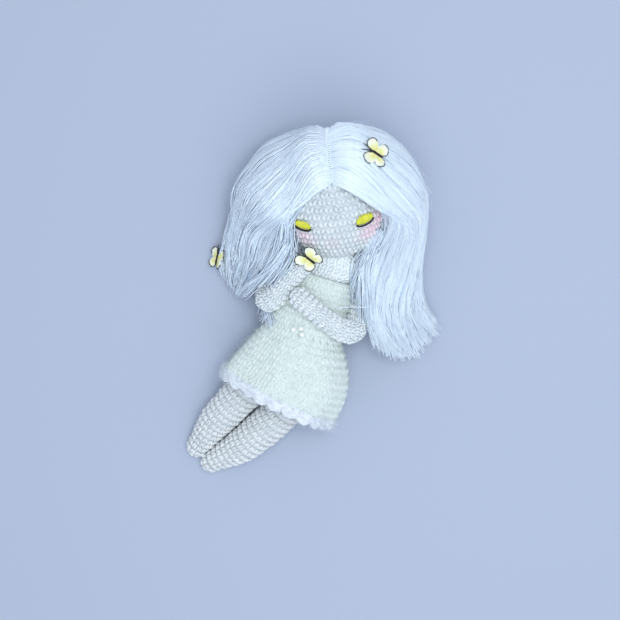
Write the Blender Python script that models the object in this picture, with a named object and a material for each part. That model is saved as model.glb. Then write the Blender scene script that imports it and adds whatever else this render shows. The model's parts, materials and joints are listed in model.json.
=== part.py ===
"""A small crocheted doll that lies on its back: stuffed body, folded arms, dress, sewn hair, butterflies.

Metres. +Y runs to the doll's head, +Z is its front and +X is its left side. The waist is at Y = 0
while the pieces are made, and the whole doll is centred over the origin at the end.
"""
import math

import bmesh
import bpy
import numpy as np
from mathutils import Vector

# Clearances that every fit shares
CLEARANCE = 0.00035
FLAT_DEPTH = 0.0005
CUT_OVERRUN = 0.0004

# Torso
TORSO_HEIGHT = 0.0125
WAIST_TO_SEAT = 0.0076
WAIST_TO_SHOULDER = 0.0236
CHEST_WIDTH = 0.0168
CHEST_DEPTH = 0.0138
NECK_SIDE = 0.0028
NECK_GAP = 0.0029
NECK_RADIUS = 0.0040
NECK_CUP = 0.0022
# Each row: place along the torso, half width and half depth, as shares of the sizes above
TORSO_SHARES = (
    (-1.00, 1.12, 0.93),
    (-0.86, 1.24, 1.04),
    (-0.30, 1.23, 1.06),
    (0.14, 1.14, 1.03),
    (0.40, 1.04, 1.01),
    (0.65, 1.00, 1.00),
    (0.79, 1.00, 0.96),
    (0.85, 1.20, 0.86),
    (0.90, 1.42, 0.77),
    (0.95, 1.48, 0.70),
    (0.985, 1.32, 0.62),
)

# Head
HEAD_WIDTH = 0.0312
HEAD_DEPTH = 0.0305
CENTRE_TO_CROWN = 0.0212
CENTRE_TO_CHIN = 0.0160
HEAD_ROLL = math.radians(24)
HEAD_NOD = math.radians(15.5)
PEG_RADIUS = 0.0009
PEG_IN_HEAD = 0.0095
PEG_IN_TORSO = 0.0070

# Arms
ARM_TOP_RADIUS = 0.0030
ELBOW_RADIUS = 0.0032
WRIST_RADIUS = 0.0027
HAND_RADIUS = 0.0028
SHOULDER_DROP = 0.0046
WIRE_RADIUS = 0.0005
WIRE_IN_ARM = 0.0075
WIRE_IN_SHOULDER = 0.0010
# Each row: angle round the body from its left side, and place between waist and shoulder as a share
LEFT_ARM_ROUTE = (
    (3, 0.60), (4, 0.42), (10, 0.28), (27, 0.22), (50, 0.24), (72, 0.31), (92, 0.39), (109, 0.46),
)
RIGHT_ARM_ROUTE = (
    (177, 0.62), (176, 0.47), (170, 0.33), (158, 0.26), (147, 0.34), (138, 0.53), (129, 0.71), (119, 0.87),
)
ARM_RADIUS_SHARES = (0.0, 0.28, 0.45, 0.72, 1.0)

# Legs
LEG_TOP_RADIUS = 0.0055
CALF_RADIUS = 0.0051
TOE_RADIUS = 0.0030
HIP_BELOW_SEAT = 0.0018
HIP_GAP = 0.0019
FOOT_GAP = 0.0005
LEG_REACH = 0.0392
LEG_SWEEP = 0.0180
HIP_HEIGHT = 0.0116
# Each row: reach, sweep to the right and height above the toes along the line between the legs
LEG_ROUTE_SHARES = (
    (0.00, 0.00, 1.00),
    (0.15, 0.07, 0.93),
    (0.36, 0.26, 0.77),
    (0.62, 0.54, 0.52),
    (0.83, 0.79, 0.24),
    (1.00, 1.00, 0.00),
)
THREAD_RADIUS = 0.0005
KNOT_RADIUS = 0.0008
STEM_IN_TORSO = 0.0035

# Dress
DRESS_WALL = 0.0014
WAIST_TO_BUST = 0.0182
HEM_WIDTH = 0.0364
HEM_DEPTH = 0.0252
SKIRT_LENGTH = 0.0206
HEM_SIDE = -0.0017
SKIRT_SWAY = 0.0013
HEM_SLANT = 0.0056
SKIRT_ROUNDNESS = 2.2
FOLD_DEPTH = 0.0005
FOLDS = 7
TRIM_LENGTH = 0.0026
TRIM_SCALLOP = 0.0009
TRIM_WALL = 0.0017
SCALLOPS = 20
PEARL_RADIUS = 0.00075
PEARL_ANGLES = (105, 96, 92)
PEARL_DROPS = (0.0012, 0.0022, 0.0006)

# Hair
HAIR_UNDER_HEAD = 0.0046
HAIR_BESIDE_HEAD = 0.0130
HAIR_ABOVE_CROWN = 0.0072
HAIR_OVER_FACE = 0.0020
HAIR_CENTRE_BACK = 0.0036
HAIR_CENTRE_LOW = 0.0084
HAIR_CENTRE_SIDE = 0.0010
PART_HALF_GAP = 0.0009
PART_THICKNESS = 0.0024
SEAM_RADIUS = 0.0005
HAIRLINE = math.radians(34)
PART_END = math.radians(152)
LEFT_FACE_EDGE = math.radians(75)
RIGHT_FACE_EDGE = math.radians(57)
LOCK_TOP_EDGE = math.radians(120)
CROWN_DROP = math.radians(28)
RIGHT_FRONT_DROP = math.radians(8)
LOCK_SPREAD = 0.0300
LOCK_REACH = 0.0260
LOCK_HEIGHT = 0.0190
LOCK_THICKNESS = 0.0020
LOCK_GAP = 0.04
LEFT_LOCK_LEAVES = 0.78
RIGHT_LOCK_LEAVES = 0.86
LOCK_FRONT_SHARE = 0.3
# Lines across the lock below the crown, each with its front, middle and outer strand: sideways,
# along the body and height, as shares of the three lock sizes above
LEFT_LOCK_SHARES = (
    ((0.44, 1.18, 1.12), (0.80, 1.10, 0.80), (0.92, 1.12, 0.26)),
    ((0.45, 0.70, 1.10), (0.82, 0.62, 0.66), (1.03, 0.66, 0.18)),
    ((0.68, 0.08, 0.86), (1.02, 0.02, 0.36), (1.22, 0.38, 0.15)),
)
RIGHT_LOCK_SHARES = (
    ((-0.46, 0.98, 1.32), (-0.88, 0.92, 1.00), (-1.07, 0.92, 0.34)),
    ((-0.50, 0.64, 1.20), (-0.86, 0.54, 0.62), (-1.06, 0.54, 0.20)),
    ((-0.74, 0.15, 0.34), (-0.84, 0.14, 0.22), (-0.99, 0.24, 0.16)),
)
BACK_LOCK_TIP_WIDTH = 0.0256
BACK_LOCK_THICKNESS = 0.0024
BACK_LOCK_TIP = 0.0028

# Eyes: middle of each lid on the head, and its size
LEFT_LID_SIDE = math.radians(32)
RIGHT_LID_SIDE = math.radians(37)
LID_LOW = math.radians(7)
LID_WIDTH = 0.0052
LID_HEIGHT = 0.0024
LID_WALL = 0.0006
LEFT_LID_TILT = math.radians(10)
RIGHT_LID_TILT = math.radians(-9)
LASH_HEIGHT = 0.0007
LASH_WALL = 0.0007

# Butterflies
WING_WALL = 0.0004
WING_FOLD_SHARE = 0.10
BODY_RADIUS_SHARE = 0.055
BODY_LENGTH_SHARE = 0.62
ANTENNA_RADIUS_SHARE = 0.018
ANTENNA_LENGTH_SHARE = 0.40
CROWN_BUTTERFLY_SPAN = 0.0076
CROWN_SEAT_SHARES = (0.27, 0.32)
SEAT_STEP = 0.02
CROWN_SEAT_TILT = 0.8
CROWN_SEAT_LIFT = 0.0008
HAND_SEAT_NORMAL = (0.12, -0.42, 0.90)
HAND_SEAT_SHARE = 0.62
HAND_BUTTERFLY_SPAN = 0.0072
LOCK_SEAT_SHARE = 0.42
LOCK_BUTTERFLY_SPAN = 0.0062
# One side of the four wings, from the head end to the tail end, as shares of the span
WING_SHARES = (
    (0.03, 0.16), (0.16, 0.40), (0.34, 0.50), (0.48, 0.46), (0.50, 0.30), (0.42, 0.12), (0.28, 0.02),
    (0.38, -0.08), (0.42, -0.24), (0.32, -0.38), (0.18, -0.40), (0.06, -0.26), (0.03, -0.14),
)

# Facets
BODY_SIDES = 28
LIMB_SIDES = 14
PIN_SIDES = 10
CLOTH_SIDES = 40

UP = Vector((0, 0, 1))


def head_axes():
    """The head's own directions: up to its crown, forward out of its face and to its left."""
    level = math.cos(HEAD_NOD)
    up = Vector((-math.sin(HEAD_ROLL) * level, math.cos(HEAD_ROLL) * level, math.sin(HEAD_NOD)))
    forward = (UP - up * UP.dot(up)).normalized()
    return up, forward, up.cross(forward)


HEAD_UP, HEAD_FORWARD, HEAD_LEFT = head_axes()


def head_centre():
    """The head rests on the hair under it, and its chin meets the neck."""
    depth = HEAD_DEPTH / 2 * HEAD_FORWARD.z
    low = math.hypot(CENTRE_TO_CHIN * HEAD_UP.z, depth, HEAD_WIDTH / 2 * HEAD_LEFT.z)
    chin = Vector((NECK_SIDE, WAIST_TO_SHOULDER + NECK_GAP, 0))
    centre = chin + HEAD_UP * CENTRE_TO_CHIN
    centre.z = HAIR_UNDER_HEAD + low
    return centre


HEAD = head_centre()
CHIN = HEAD - HEAD_UP * CENTRE_TO_CHIN


def skull_reach(direction):
    """How far the head's surface is from its centre along a unit direction."""
    rise = direction.dot(HEAD_UP)
    half = CENTRE_TO_CROWN if rise > 0 else CENTRE_TO_CHIN
    side = direction.dot(HEAD_LEFT) / (HEAD_WIDTH / 2)
    front = direction.dot(HEAD_FORWARD) / (HEAD_DEPTH / 2)
    return 1 / math.sqrt(side * side + front * front + (rise / half) ** 2)


def hair_reach(direction):
    """How far the outside of the hair is from the head's centre along a unit direction."""
    middle = Vector((-HAIR_CENTRE_SIDE, -HAIR_CENTRE_BACK, -HAIR_CENTRE_LOW))
    half = (
        HEAD_WIDTH / 2 + HAIR_BESIDE_HEAD,
        CENTRE_TO_CROWN + HAIR_ABOVE_CROWN,
        HEAD_DEPTH / 2 + HAIR_CENTRE_LOW + HAIR_OVER_FACE,
    )
    along = [d / h for d, h in zip(direction, half)]
    start = [-m / h for m, h in zip(middle, half)]
    a = sum(d * d for d in along)
    b = sum(d * s for d, s in zip(along, start))
    c = sum(s * s for s in start) - 1
    return (-b + math.sqrt(b * b - a * c)) / a


def torso_half(y):
    """Half the torso's width and depth at a place along it."""
    share = y / (WAIST_TO_SHOULDER if y > 0 else WAIST_TO_SEAT)
    places, widths, depths = zip(*TORSO_SHARES)
    wide = np.interp(share, places, widths) * CHEST_WIDTH / 2
    deep = np.interp(share, places, depths) * CHEST_DEPTH / 2
    return wide, deep


def dress_half(y):
    """Half the bodice's outer width and depth, level with the bust above it."""
    wide, deep = torso_half(min(y, WAIST_TO_BUST))
    return wide + CLEARANCE + DRESS_WALL, deep + CLEARANCE + DRESS_WALL


def round_the_body(degrees, y, away):
    """A point that lies a distance outside the bodice, at an angle from the doll's left side."""
    wide, deep = dress_half(y)
    turn = math.radians(degrees)
    return Vector((math.cos(turn) * (wide + away), y, TORSO_HEIGHT + math.sin(turn) * (deep + away)))


def smooth_path(points, count):
    """Points spread evenly along a smooth curve through the given ones."""
    points = [np.array(p, float) for p in points]
    points = [2 * points[0] - points[1], *points, 2 * points[-1] - points[-2]]
    fine = []
    for a, b, c, d in zip(points, points[1:], points[2:], points[3:]):
        for t in np.linspace(0, 1, 24, endpoint=False):
            square = (2 * a - 5 * b + 4 * c - d) * t**2
            fine.append(0.5 * (2 * b + (c - a) * t + square + (3 * b - a - 3 * c + d) * t**3))
    fine.append(points[-2])
    fine = np.array(fine)
    length = np.concatenate([[0], np.cumsum(np.linalg.norm(np.diff(fine, axis=0), axis=1))])
    even = np.linspace(0, length[-1], count)
    return np.stack([np.interp(even, length, fine[:, k]) for k in range(3)], axis=1)


def tube_rings(path, radii, sides, caps=4):
    """Rings round a path that keep from twisting, with a rounded end past its first and last point.

    The last two points returned are the tips of the two ends.
    """
    path = [Vector(p) for p in path]
    ahead = [(b - a).normalized() for a, b in zip(path, path[1:])]
    tangents = [ahead[0], *[(a + b).normalized() for a, b in zip(ahead, ahead[1:])], ahead[-1]]
    across = tangents[0].orthogonal().normalized()
    rings = []
    for step, (point, tangent, radius) in enumerate(zip(path, tangents, radii)):
        across = (across - tangent * across.dot(tangent)).normalized()
        other = tangent.cross(across)
        turns = [0]
        if step == 0:
            turns = [-math.pi / 2 * (1 - k / caps) for k in range(1, caps + 1)]
        if step == len(path) - 1:
            turns = [math.pi / 2 * k / caps for k in range(caps)]
        for turn in turns:
            centre = point + tangent * radius * math.sin(turn)
            reach = radius * math.cos(turn)
            rings.append([
                centre + (across * math.cos(a) + other * math.sin(a)) * reach
                for a in (2 * math.pi * k / sides for k in range(sides))
            ])
    return rings, (path[0] - tangents[0] * radii[0], path[-1] + tangents[-1] * radii[-1])


def quads(rows, columns, wrap):
    """Faces of a grid of points, whose rows may close on themselves."""
    last = columns if wrap else columns - 1
    return [
        (
            r * columns + c,
            r * columns + (c + 1) % columns,
            (r + 1) * columns + (c + 1) % columns,
            (r + 1) * columns + c,
        )
        for r in range(rows - 1)
        for c in range(last)
    ]


def closed_skin(rings, tips=None):
    """Points and faces of a body through the rings, closed at both ends, at the tips if they are given."""
    sides = len(rings[0])
    points = [p for ring in rings for p in ring]
    faces = quads(len(rings), sides, True)
    first, last = len(points), len(points) + 1
    points += tips or [sum((Vector(p) for p in ring), Vector()) / sides for ring in (rings[0], rings[-1])]
    top = (len(rings) - 1) * sides
    for c in range(sides):
        faces.append((first, (c + 1) % sides, c))
        faces.append((last, top + c, top + (c + 1) % sides))
    return points, faces


def walled_sheet(outer, inner):
    """A closed body between two grids of points, walled along all four edges."""
    rows, columns = len(outer), len(outer[0])
    points = [p for row in outer for p in row] + [p for row in inner for p in row]
    shift = rows * columns
    faces = quads(rows, columns, False)
    faces += [tuple(shift + i for i in reversed(face)) for face in faces]
    edge = [c for c in range(columns)]
    edge += [r * columns + columns - 1 for r in range(1, rows)]
    edge += [(rows - 1) * columns + c for c in reversed(range(columns - 1))]
    edge += [r * columns for r in reversed(range(1, rows - 1))]
    for a, b in zip(edge, edge[1:] + edge[:1]):
        faces.append((b, a, shift + a, shift + b))
    return points, faces


def walled_ring(outer, inner):
    """A closed body between two open tubes of rings, joined along both rims."""
    rows, columns = len(outer), len(outer[0])
    points = [p for row in outer for p in row] + [p for row in inner for p in row]
    shift = rows * columns
    faces = quads(rows, columns, True)
    faces += [tuple(shift + i for i in reversed(face)) for face in faces]
    for row, turned in ((0, False), (rows - 1, True)):
        for c in range(columns):
            a, b = row * columns + c, row * columns + (c + 1) % columns
            face = (b, a, shift + a, shift + b)
            faces.append(tuple(reversed(face)) if turned else face)
    return points, faces


def fan_plate(low, high):
    """A closed plate between two outlines that both can be fanned from their middles."""
    count = len(low)
    points = [*low, *high, sum(low, Vector()) / count, sum(high, Vector()) / count]
    faces = []
    for a in range(count):
        b = (a + 1) % count
        faces += [(a, b, count + b, count + a), (b, a, 2 * count), (count + a, count + b, 2 * count + 1)]
    return points, faces


def pressed(point, floor=0.0):
    """A point no lower than the surface that the doll rests on."""
    return Vector((point[0], point[1], max(point[2], floor)))


def start_empty_scene():
    for thing in list(bpy.data.objects):
        bpy.data.objects.remove(thing, do_unlink=True)


def add_empty(name, place, parent=None):
    """A pivot that carries the pieces of one moving group."""
    pivot = bpy.data.objects.new(name, None)
    bpy.context.scene.collection.objects.link(pivot)
    pivot.parent = parent
    pivot.location = place
    return pivot


def add_piece(name, shape, pivot, place, colour, roughness, metallic=0.0):
    """A named solid of its own material, whose origin is on its group's pivot."""
    points, faces = shape
    mesh = bpy.data.meshes.new(name)
    mesh.from_pydata([tuple(Vector(p) - Vector(place)) for p in points], [], faces)
    work = bmesh.new()
    work.from_mesh(mesh)
    bmesh.ops.recalc_face_normals(work, faces=work.faces)
    work.to_mesh(mesh)
    work.free()
    mesh.shade_smooth()
    piece = bpy.data.objects.new(name, mesh)
    bpy.context.scene.collection.objects.link(piece)
    piece.parent = pivot
    material = bpy.data.materials.new(name)
    material.use_nodes = True
    shader = material.node_tree.nodes["Principled BSDF"]
    shader.inputs["Base Color"].default_value = (*colour, 1)
    shader.inputs["Roughness"].default_value = roughness
    shader.inputs["Metallic"].default_value = metallic
    mesh.materials.append(material)
    return piece


def change(piece, tool, operation="DIFFERENCE"):
    """Cuts a helper out of a piece, or joins it on, and hides the helper."""
    tool.hide_render = True
    tool.display_type = "WIRE"
    step = piece.modifiers.new(tool.name, "BOOLEAN")
    step.operation = operation
    step.solver = "EXACT"
    step.object = tool


def ball(centre, radius, sides=20):
    """A ball's rings, from pole to pole."""
    rings = []
    for k in range(1, sides // 2):
        turn = math.pi * k / (sides // 2) - math.pi / 2
        reach = radius * math.cos(turn)
        rise = centre + UP * radius * math.sin(turn)
        rings.append([
            rise + Vector((math.cos(a) * reach, math.sin(a) * reach, 0))
            for a in (2 * math.pi * i / sides for i in range(sides))
        ])
    return closed_skin(rings, (centre - UP * radius, centre + UP * radius))


def rod(start, end, radius, sides=PIN_SIDES):
    """A straight round bar with flat ends."""
    along = (end - start).normalized()
    across = along.orthogonal().normalized()
    other = along.cross(across)
    around = [2 * math.pi * k / sides for k in range(sides)]
    ring = [(across * math.cos(a) + other * math.sin(a)) * radius for a in around]
    return closed_skin([[start + p for p in ring], [end + p for p in ring]])


def torso_rings():
    """Rings of the stuffed body from the seat to the shoulders, then up the leaning neck."""
    rings = []
    around = [2 * math.pi * k / BODY_SIDES for k in range(BODY_SIDES)]
    for share, _, _ in TORSO_SHARES:
        y = share * (WAIST_TO_SHOULDER if share > 0 else WAIST_TO_SEAT)
        wide, deep = torso_half(y)
        lean = max(0.0, (share - TORSO_SHARES[6][0]) / (TORSO_SHARES[-1][0] - TORSO_SHARES[6][0])) ** 2
        side = CHIN.x * lean * 0.5
        rise = TORSO_HEIGHT + (CHIN.z - TORSO_HEIGHT) * lean * 0.6
        rings.append([Vector((side + wide * math.cos(a), y, rise + deep * math.sin(a))) for a in around])
    across = Vector((1, 0, 0))
    across = (across - HEAD_UP * across.dot(HEAD_UP)).normalized()
    other = across.cross(HEAD_UP)
    for drop in (-NECK_GAP / 4, -NECK_CUP):
        middle = CHIN - HEAD_UP * drop
        rings.append([middle + (across * math.cos(a) + other * math.sin(a)) * NECK_RADIUS for a in around])
    return rings


def arm_line(route, side):
    """The straight upper arm, then the route round the body, with a radius at each point."""
    degrees = 0 if side > 0 else 180
    start = round_the_body(degrees, WAIST_TO_SHOULDER - SHOULDER_DROP, CLEARANCE + ARM_TOP_RADIUS)
    points = [start]
    sizes = (ARM_TOP_RADIUS, ELBOW_RADIUS, ELBOW_RADIUS, WRIST_RADIUS, HAND_RADIUS)
    for step, (degrees, share) in enumerate(route):
        radius = np.interp((step + 1) / len(route), ARM_RADIUS_SHARES, sizes)
        points.append(round_the_body(degrees, share * WAIST_TO_SHOULDER, CLEARANCE + radius))
    path = smooth_path(points, 24)
    radii = np.interp(np.linspace(0, 1, 24), ARM_RADIUS_SHARES, sizes)
    return path, radii


def arm_axis(path):
    """The shoulder and the direction from the elbow to it, which the arm turns about."""
    shoulder = Vector(path[0])
    return shoulder, (shoulder - Vector(path[7])).normalized()


def leg_line(side):
    """One leg's centre line, kept beside the line between the legs by its own radius."""
    shares = np.linspace(0, 1, 20)
    middle = smooth_path(
        [
            (-sweep * LEG_SWEEP, -WAIST_TO_SEAT - HIP_BELOW_SEAT - reach * LEG_REACH, rise)
            for reach, sweep, rise in LEG_ROUTE_SHARES
        ],
        len(shares),
    )
    radii = np.interp(shares, (0, 0.35, 0.65, 1), (LEG_TOP_RADIUS, LEG_TOP_RADIUS, CALF_RADIUS, TOE_RADIUS))
    low = TOE_RADIUS - FLAT_DEPTH
    path = []
    for step, point in enumerate(middle):
        before, after = middle[max(step - 1, 0)], middle[min(step + 1, len(middle) - 1)]
        along = Vector((after[0] - before[0], after[1] - before[1], 0)).normalized()
        if step == 0:
            along = Vector((0, -1, 0))
        beside = Vector((-along.y, along.x, 0)) * side
        gap = HIP_GAP + (FOOT_GAP - HIP_GAP) * shares[step]
        place = Vector(point) + beside * (radii[step] + gap / 2)
        place.z = low + (HIP_HEIGHT - low) * point[2]
        path.append(place)
    return path, radii


def crown_direction(side, along, across):
    """The direction from the head's centre to a place on the hair: along the part, and away from it."""
    part = HAIRLINE + (PART_END - HAIRLINE) * along
    face_edge = LEFT_FACE_EDGE if side > 0 else RIGHT_FACE_EDGE
    turn = face_edge + (math.pi - face_edge) * along
    drop = CROWN_DROP
    if side < 0:
        settle = min(max((turn - math.pi / 2) / (LOCK_TOP_EDGE - math.pi / 2), 0), 1)
        drop = RIGHT_FRONT_DROP + (CROWN_DROP - RIGHT_FRONT_DROP) * settle
    start = HEAD_UP * math.sin(part) + HEAD_FORWARD * math.cos(part)
    level = HEAD_LEFT * side * math.sin(turn) + HEAD_FORWARD * math.cos(turn)
    end = level * math.cos(drop) - HEAD_UP * math.sin(drop)
    return start.slerp(end, across)


def crown_point(side, along, across, outside):
    """A point of the crown's hair, next to the head or on its outside."""
    direction = crown_direction(side, along, across)
    inner = skull_reach(direction) + CLEARANCE
    reach = inner
    if outside:
        full = hair_reach(direction) - inner
        ease = min(across / 0.45, 1)
        ease = ease * ease * (3 - 2 * ease)
        reach = inner + PART_THICKNESS + max(full - PART_THICKNESS, 0) * ease
        reach = min(reach, HEAD.z / max(-direction.z, 1e-6))
    return HEAD + direction * reach + HEAD_LEFT * side * PART_HALF_GAP


def crown_shape(side):
    """One half of the hair that lies on the head, from the part to the lock's top."""
    rows, columns = 13, 12
    grids = [
        [
            [pressed(crown_point(side, r / (rows - 1), c / (columns - 1), outside)) for c in range(columns)]
            for r in range(rows)
        ]
        for outside in (True, False)
    ]
    return walled_sheet(*grids)


def lock_top(side, share, across=1):
    """The two ends of a strand where it leaves the crown, from the face edge at 0 to the middle back at 1."""
    away = -HEAD_UP
    if across < 1:
        beside = crown_point(side, share, across, False) - crown_point(side, share + LOCK_GAP, across, False)
        away = (beside.normalized() + away).normalized()
    below = away * (2 * CLEARANCE)
    return crown_point(side, share, across, True) + below, crown_point(side, share, across, False) + below


def front_leave(side, share):
    """How far from the part a strand leaves the crown: the front ones leave along the face edge."""
    leaves = LEFT_LOCK_LEAVES if side > 0 else RIGHT_LOCK_LEAVES
    early = max(1 - share / LOCK_FRONT_SHARE, 0)
    late = max(share - LOCK_FRONT_SHARE, 0) / (1 - LOCK_FRONT_SHARE)
    return late, 1 - (1 - leaves) * early


def lock_skin(strands, rows, floors):
    """A lock from its strands: each has a start and the points below, outside and next to the body."""
    outer, inner = [], []
    for top_out, top_in, line, below in strands:
        outer.append([pressed(p, floors[0]) for p in smooth_path([top_out, *line], rows)])
        inner.append([pressed(p, floors[1]) for p in smooth_path([top_in, *below], rows)])
    return walled_sheet(outer, inner)


def lock_shape(side, lines):
    """A loose lock from the lower edge of the crown to its cut ends, lying beside the body."""
    columns = 9
    face_edge = LEFT_FACE_EDGE if side > 0 else RIGHT_FACE_EDGE
    last = (LOCK_TOP_EDGE - face_edge) / (math.pi - face_edge)
    strands = []
    for c in range(columns):
        share = c / (columns - 1)
        line = []
        for front, middle, edge in lines:
            blend = [(1 - share) ** 2, 2 * share * (1 - share), share**2]
            mixed = [
                f * blend[0] + (2 * m - (f + e) / 2) * blend[1] + e * blend[2]
                for f, m, e in zip(front, middle, edge)
            ]
            line.append(Vector((mixed[0] * LOCK_SPREAD, mixed[1] * LOCK_REACH, mixed[2] * LOCK_HEIGHT)))
        below = []
        for place in line:
            inward = Vector((-place.x, 0, -LOCK_SPREAD - place.z)).normalized()
            below.append(place + inward * LOCK_THICKNESS)
        late, across = front_leave(side, share)
        strands.append((*lock_top(side, last * late, across), line, below))
    return lock_skin(strands, 14, (CLEARANCE + LOCK_THICKNESS / 2, CLEARANCE))


def back_lock_shape():
    """The hair that hangs down the back and lies flat between the body and the surface under it."""
    columns = 12
    strands = []
    for c in range(columns):
        across = 1 - 2 * c / (columns - 1)
        side = 1 if across > 0 else -1
        face_edge = LEFT_FACE_EDGE if side > 0 else RIGHT_FACE_EDGE
        first = (LOCK_TOP_EDGE - face_edge) / (math.pi - face_edge) + LOCK_GAP
        top_out, top_in = lock_top(side, 1 - (1 - first) * abs(across))
        tip = Vector((across * BACK_LOCK_TIP_WIDTH / 2, BACK_LOCK_TIP, 0))
        line, above = [], []
        for share in (0.3, 0.6, 1.0):
            place = top_out.lerp(tip, share)
            line.append(Vector((place.x, place.y, CLEARANCE)))
            above.append(Vector((place.x, place.y, CLEARANCE + BACK_LOCK_THICKNESS)))
        strands.append((top_out, top_in, line, above))
    return lock_skin(strands, 8, (CLEARANCE, CLEARANCE + BACK_LOCK_THICKNESS / 2))


def hem_line(x):
    """How far along the body the slanted hem lies at a place across it."""
    return -SKIRT_LENGTH - HEM_SLANT * (x - HEM_SIDE) / HEM_WIDTH


def skirt_rings(inset, extra=0.0):
    """Rings of the skirt's outside, or of a surface a distance inside it, from the waist to the hem."""
    rings = []
    wide_top, deep_top = dress_half(0)
    for share in np.linspace(0, 1, 9):
        flare = 1 - (1 - share) ** SKIRT_ROUNDNESS
        wide = wide_top + (HEM_WIDTH / 2 - wide_top) * flare - inset
        deep = deep_top + (HEM_DEPTH / 2 - deep_top) * flare - inset
        rise = TORSO_HEIGHT + (HEM_DEPTH / 2 - FLAT_DEPTH - TORSO_HEIGHT) * flare
        ring = []
        for k in range(CLOTH_SIDES):
            turn = 2 * math.pi * k / CLOTH_SIDES
            fold = FOLD_DEPTH * flare * math.cos(FOLDS * turn)
            x = HEM_SIDE * share + SKIRT_SWAY * math.sin(math.pi * share) + (wide + fold) * math.cos(turn)
            z = rise + (deep + fold) * math.sin(turn)
            start = -CLEARANCE
            y = start + (hem_line(x) - extra - start) * share
            ring.append(pressed((x, y, z), inset))
        rings.append(ring)
    return rings


def trim_shape():
    """The white edging: a band below the hem whose lower edge runs in scallops."""
    outer = skirt_rings(DRESS_WALL / 2)[-1]
    count = SCALLOPS * 4
    line = smooth_path([*outer, outer[0]], count + 1)[:-1]
    middle = sum((Vector(p) for p in line), Vector()) / count
    rings = []
    for k, place in enumerate(line):
        out = Vector((place[0] - middle.x, 0, place[2] - middle.z)).normalized()
        wave = abs(math.cos(math.pi * SCALLOPS * k / count))
        low = TRIM_LENGTH - TRIM_SCALLOP + TRIM_SCALLOP * wave
        profile = ((0, -0.35), (0, 0.35), (0.45, 0.5), (1, 0.25), (1, -0.25), (0.45, -0.5))
        ring = []
        for down, side in profile:
            point = Vector(place) + out * side * TRIM_WALL
            point.y = place[1] - CLEARANCE - down * low
            ring.append(pressed(point, CLEARANCE))
        rings.append(ring)
    points = [p for ring in rings for p in ring]
    sides = len(rings[0])
    faces = quads(count, sides, True)
    top = (count - 1) * sides
    faces += [(top + c, top + (c + 1) % sides, (c + 1) % sides, c) for c in range(sides)]
    return points, faces


def face_patch(side, outline, tilt, wall, lift):
    """A stitched patch that follows the head, from an outline round the middle of one eyelid."""
    turn = LEFT_LID_SIDE if side > 0 else RIGHT_LID_SIDE
    level = HEAD_LEFT * side * math.sin(turn) + HEAD_FORWARD * math.cos(turn)
    middle = level * math.cos(LID_LOW) - HEAD_UP * math.sin(LID_LOW)
    rise = (HEAD_UP - middle * HEAD_UP.dot(middle)).normalized()
    across = rise.cross(middle)
    low, high = [], []
    for u, v in outline:
        right = u * math.cos(tilt) - v * math.sin(tilt)
        top = u * math.sin(tilt) + v * math.cos(tilt)
        direction = (middle * skull_reach(middle) + across * right + rise * top).normalized()
        low.append(HEAD + direction * (skull_reach(direction) + lift))
        high.append(HEAD + direction * (skull_reach(direction) + lift + wall))
    return fan_plate(low, high)


def lid_outline():
    """A closed eyelid: a curved top over a shallower curved lower edge."""
    points = []
    for k in range(16):
        turn = 2 * math.pi * k / 16
        lift = 0.62 if math.sin(turn) > 0 else 0.38
        points.append((LID_WIDTH / 2 * math.cos(turn), LID_HEIGHT * lift * math.sin(turn)))
    return points


def lash_outline():
    """A thin curved line just under the lid's lower edge."""
    top, low = [], []
    for k in range(9):
        turn = math.pi + math.pi * k / 8
        x = LID_WIDTH / 2 * math.cos(turn)
        y = LID_HEIGHT * 0.38 * math.sin(turn) - CLEARANCE
        top.append((x, y))
        low.append((x, y - LASH_HEIGHT))
    return [*top, *reversed(low)]


def strip_patch(side, outline, tilt, wall, lift):
    """A curved strip on the head, built as a walled sheet so that its bend stays true."""
    points, _ = face_patch(side, outline, tilt, wall, lift)
    count = len(outline)
    half = count // 2
    low, high = points[:count], points[count : 2 * count]
    low_rows = [low[:half], list(reversed(low[half:]))]
    high_rows = [high[:half], list(reversed(high[half:]))]
    return walled_sheet(high_rows, low_rows)


def perch(place, normal, heading):
    """The directions of a butterfly that sits at a place: its right, its head end and away from its seat."""
    away = normal.normalized()
    ahead = (heading - away * heading.dot(away)).normalized()
    return place, ahead.cross(away), ahead, away


def wing_shape(seat, span):
    """Four thin wings in one plate, folded a little upward along the body."""
    place, right, ahead, away = seat
    outline = [*WING_SHARES, *[(-x, y) for x, y in reversed(WING_SHARES)]]
    low, high = [], []
    for x, y in outline:
        point = place + right * x * span + ahead * y * span + away * abs(x) * span * WING_FOLD_SHARE
        low.append(point)
        high.append(point + away * WING_WALL)
    points, faces = fan_plate(low, high)
    points[-2] = place
    points[-1] = place + away * WING_WALL
    return points, faces


def butterfly_body_shape(seat, span):
    """The thread body that lies on the wings, fatter in its middle."""
    place, _, ahead, away = seat
    radius = span * BODY_RADIUS_SHARE
    lift = away * (WING_WALL + 2 * CLEARANCE + radius)
    half = span * BODY_LENGTH_SHARE / 2
    path = [place + lift + ahead * half * s for s in (-1, -0.5, 0, 0.5, 1)]
    return closed_skin(*tube_rings(path, [radius * f for f in (0.6, 0.9, 0.8, 1, 0.85)], 8, caps=2))


def antenna_shape(seat, span, side):
    """One thread feeler, from inside the butterfly's head outward."""
    place, right, ahead, away = seat
    radius = span * BODY_RADIUS_SHARE
    start = place + away * (WING_WALL + 2 * CLEARANCE + radius) + ahead * span * BODY_LENGTH_SHARE * 0.45
    reach = ahead + right * side * 0.35 + away * 0.25
    return rod(start, start + reach * span * ANTENNA_LENGTH_SHARE, span * ANTENNA_RADIUS_SHARE, 6)


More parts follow.
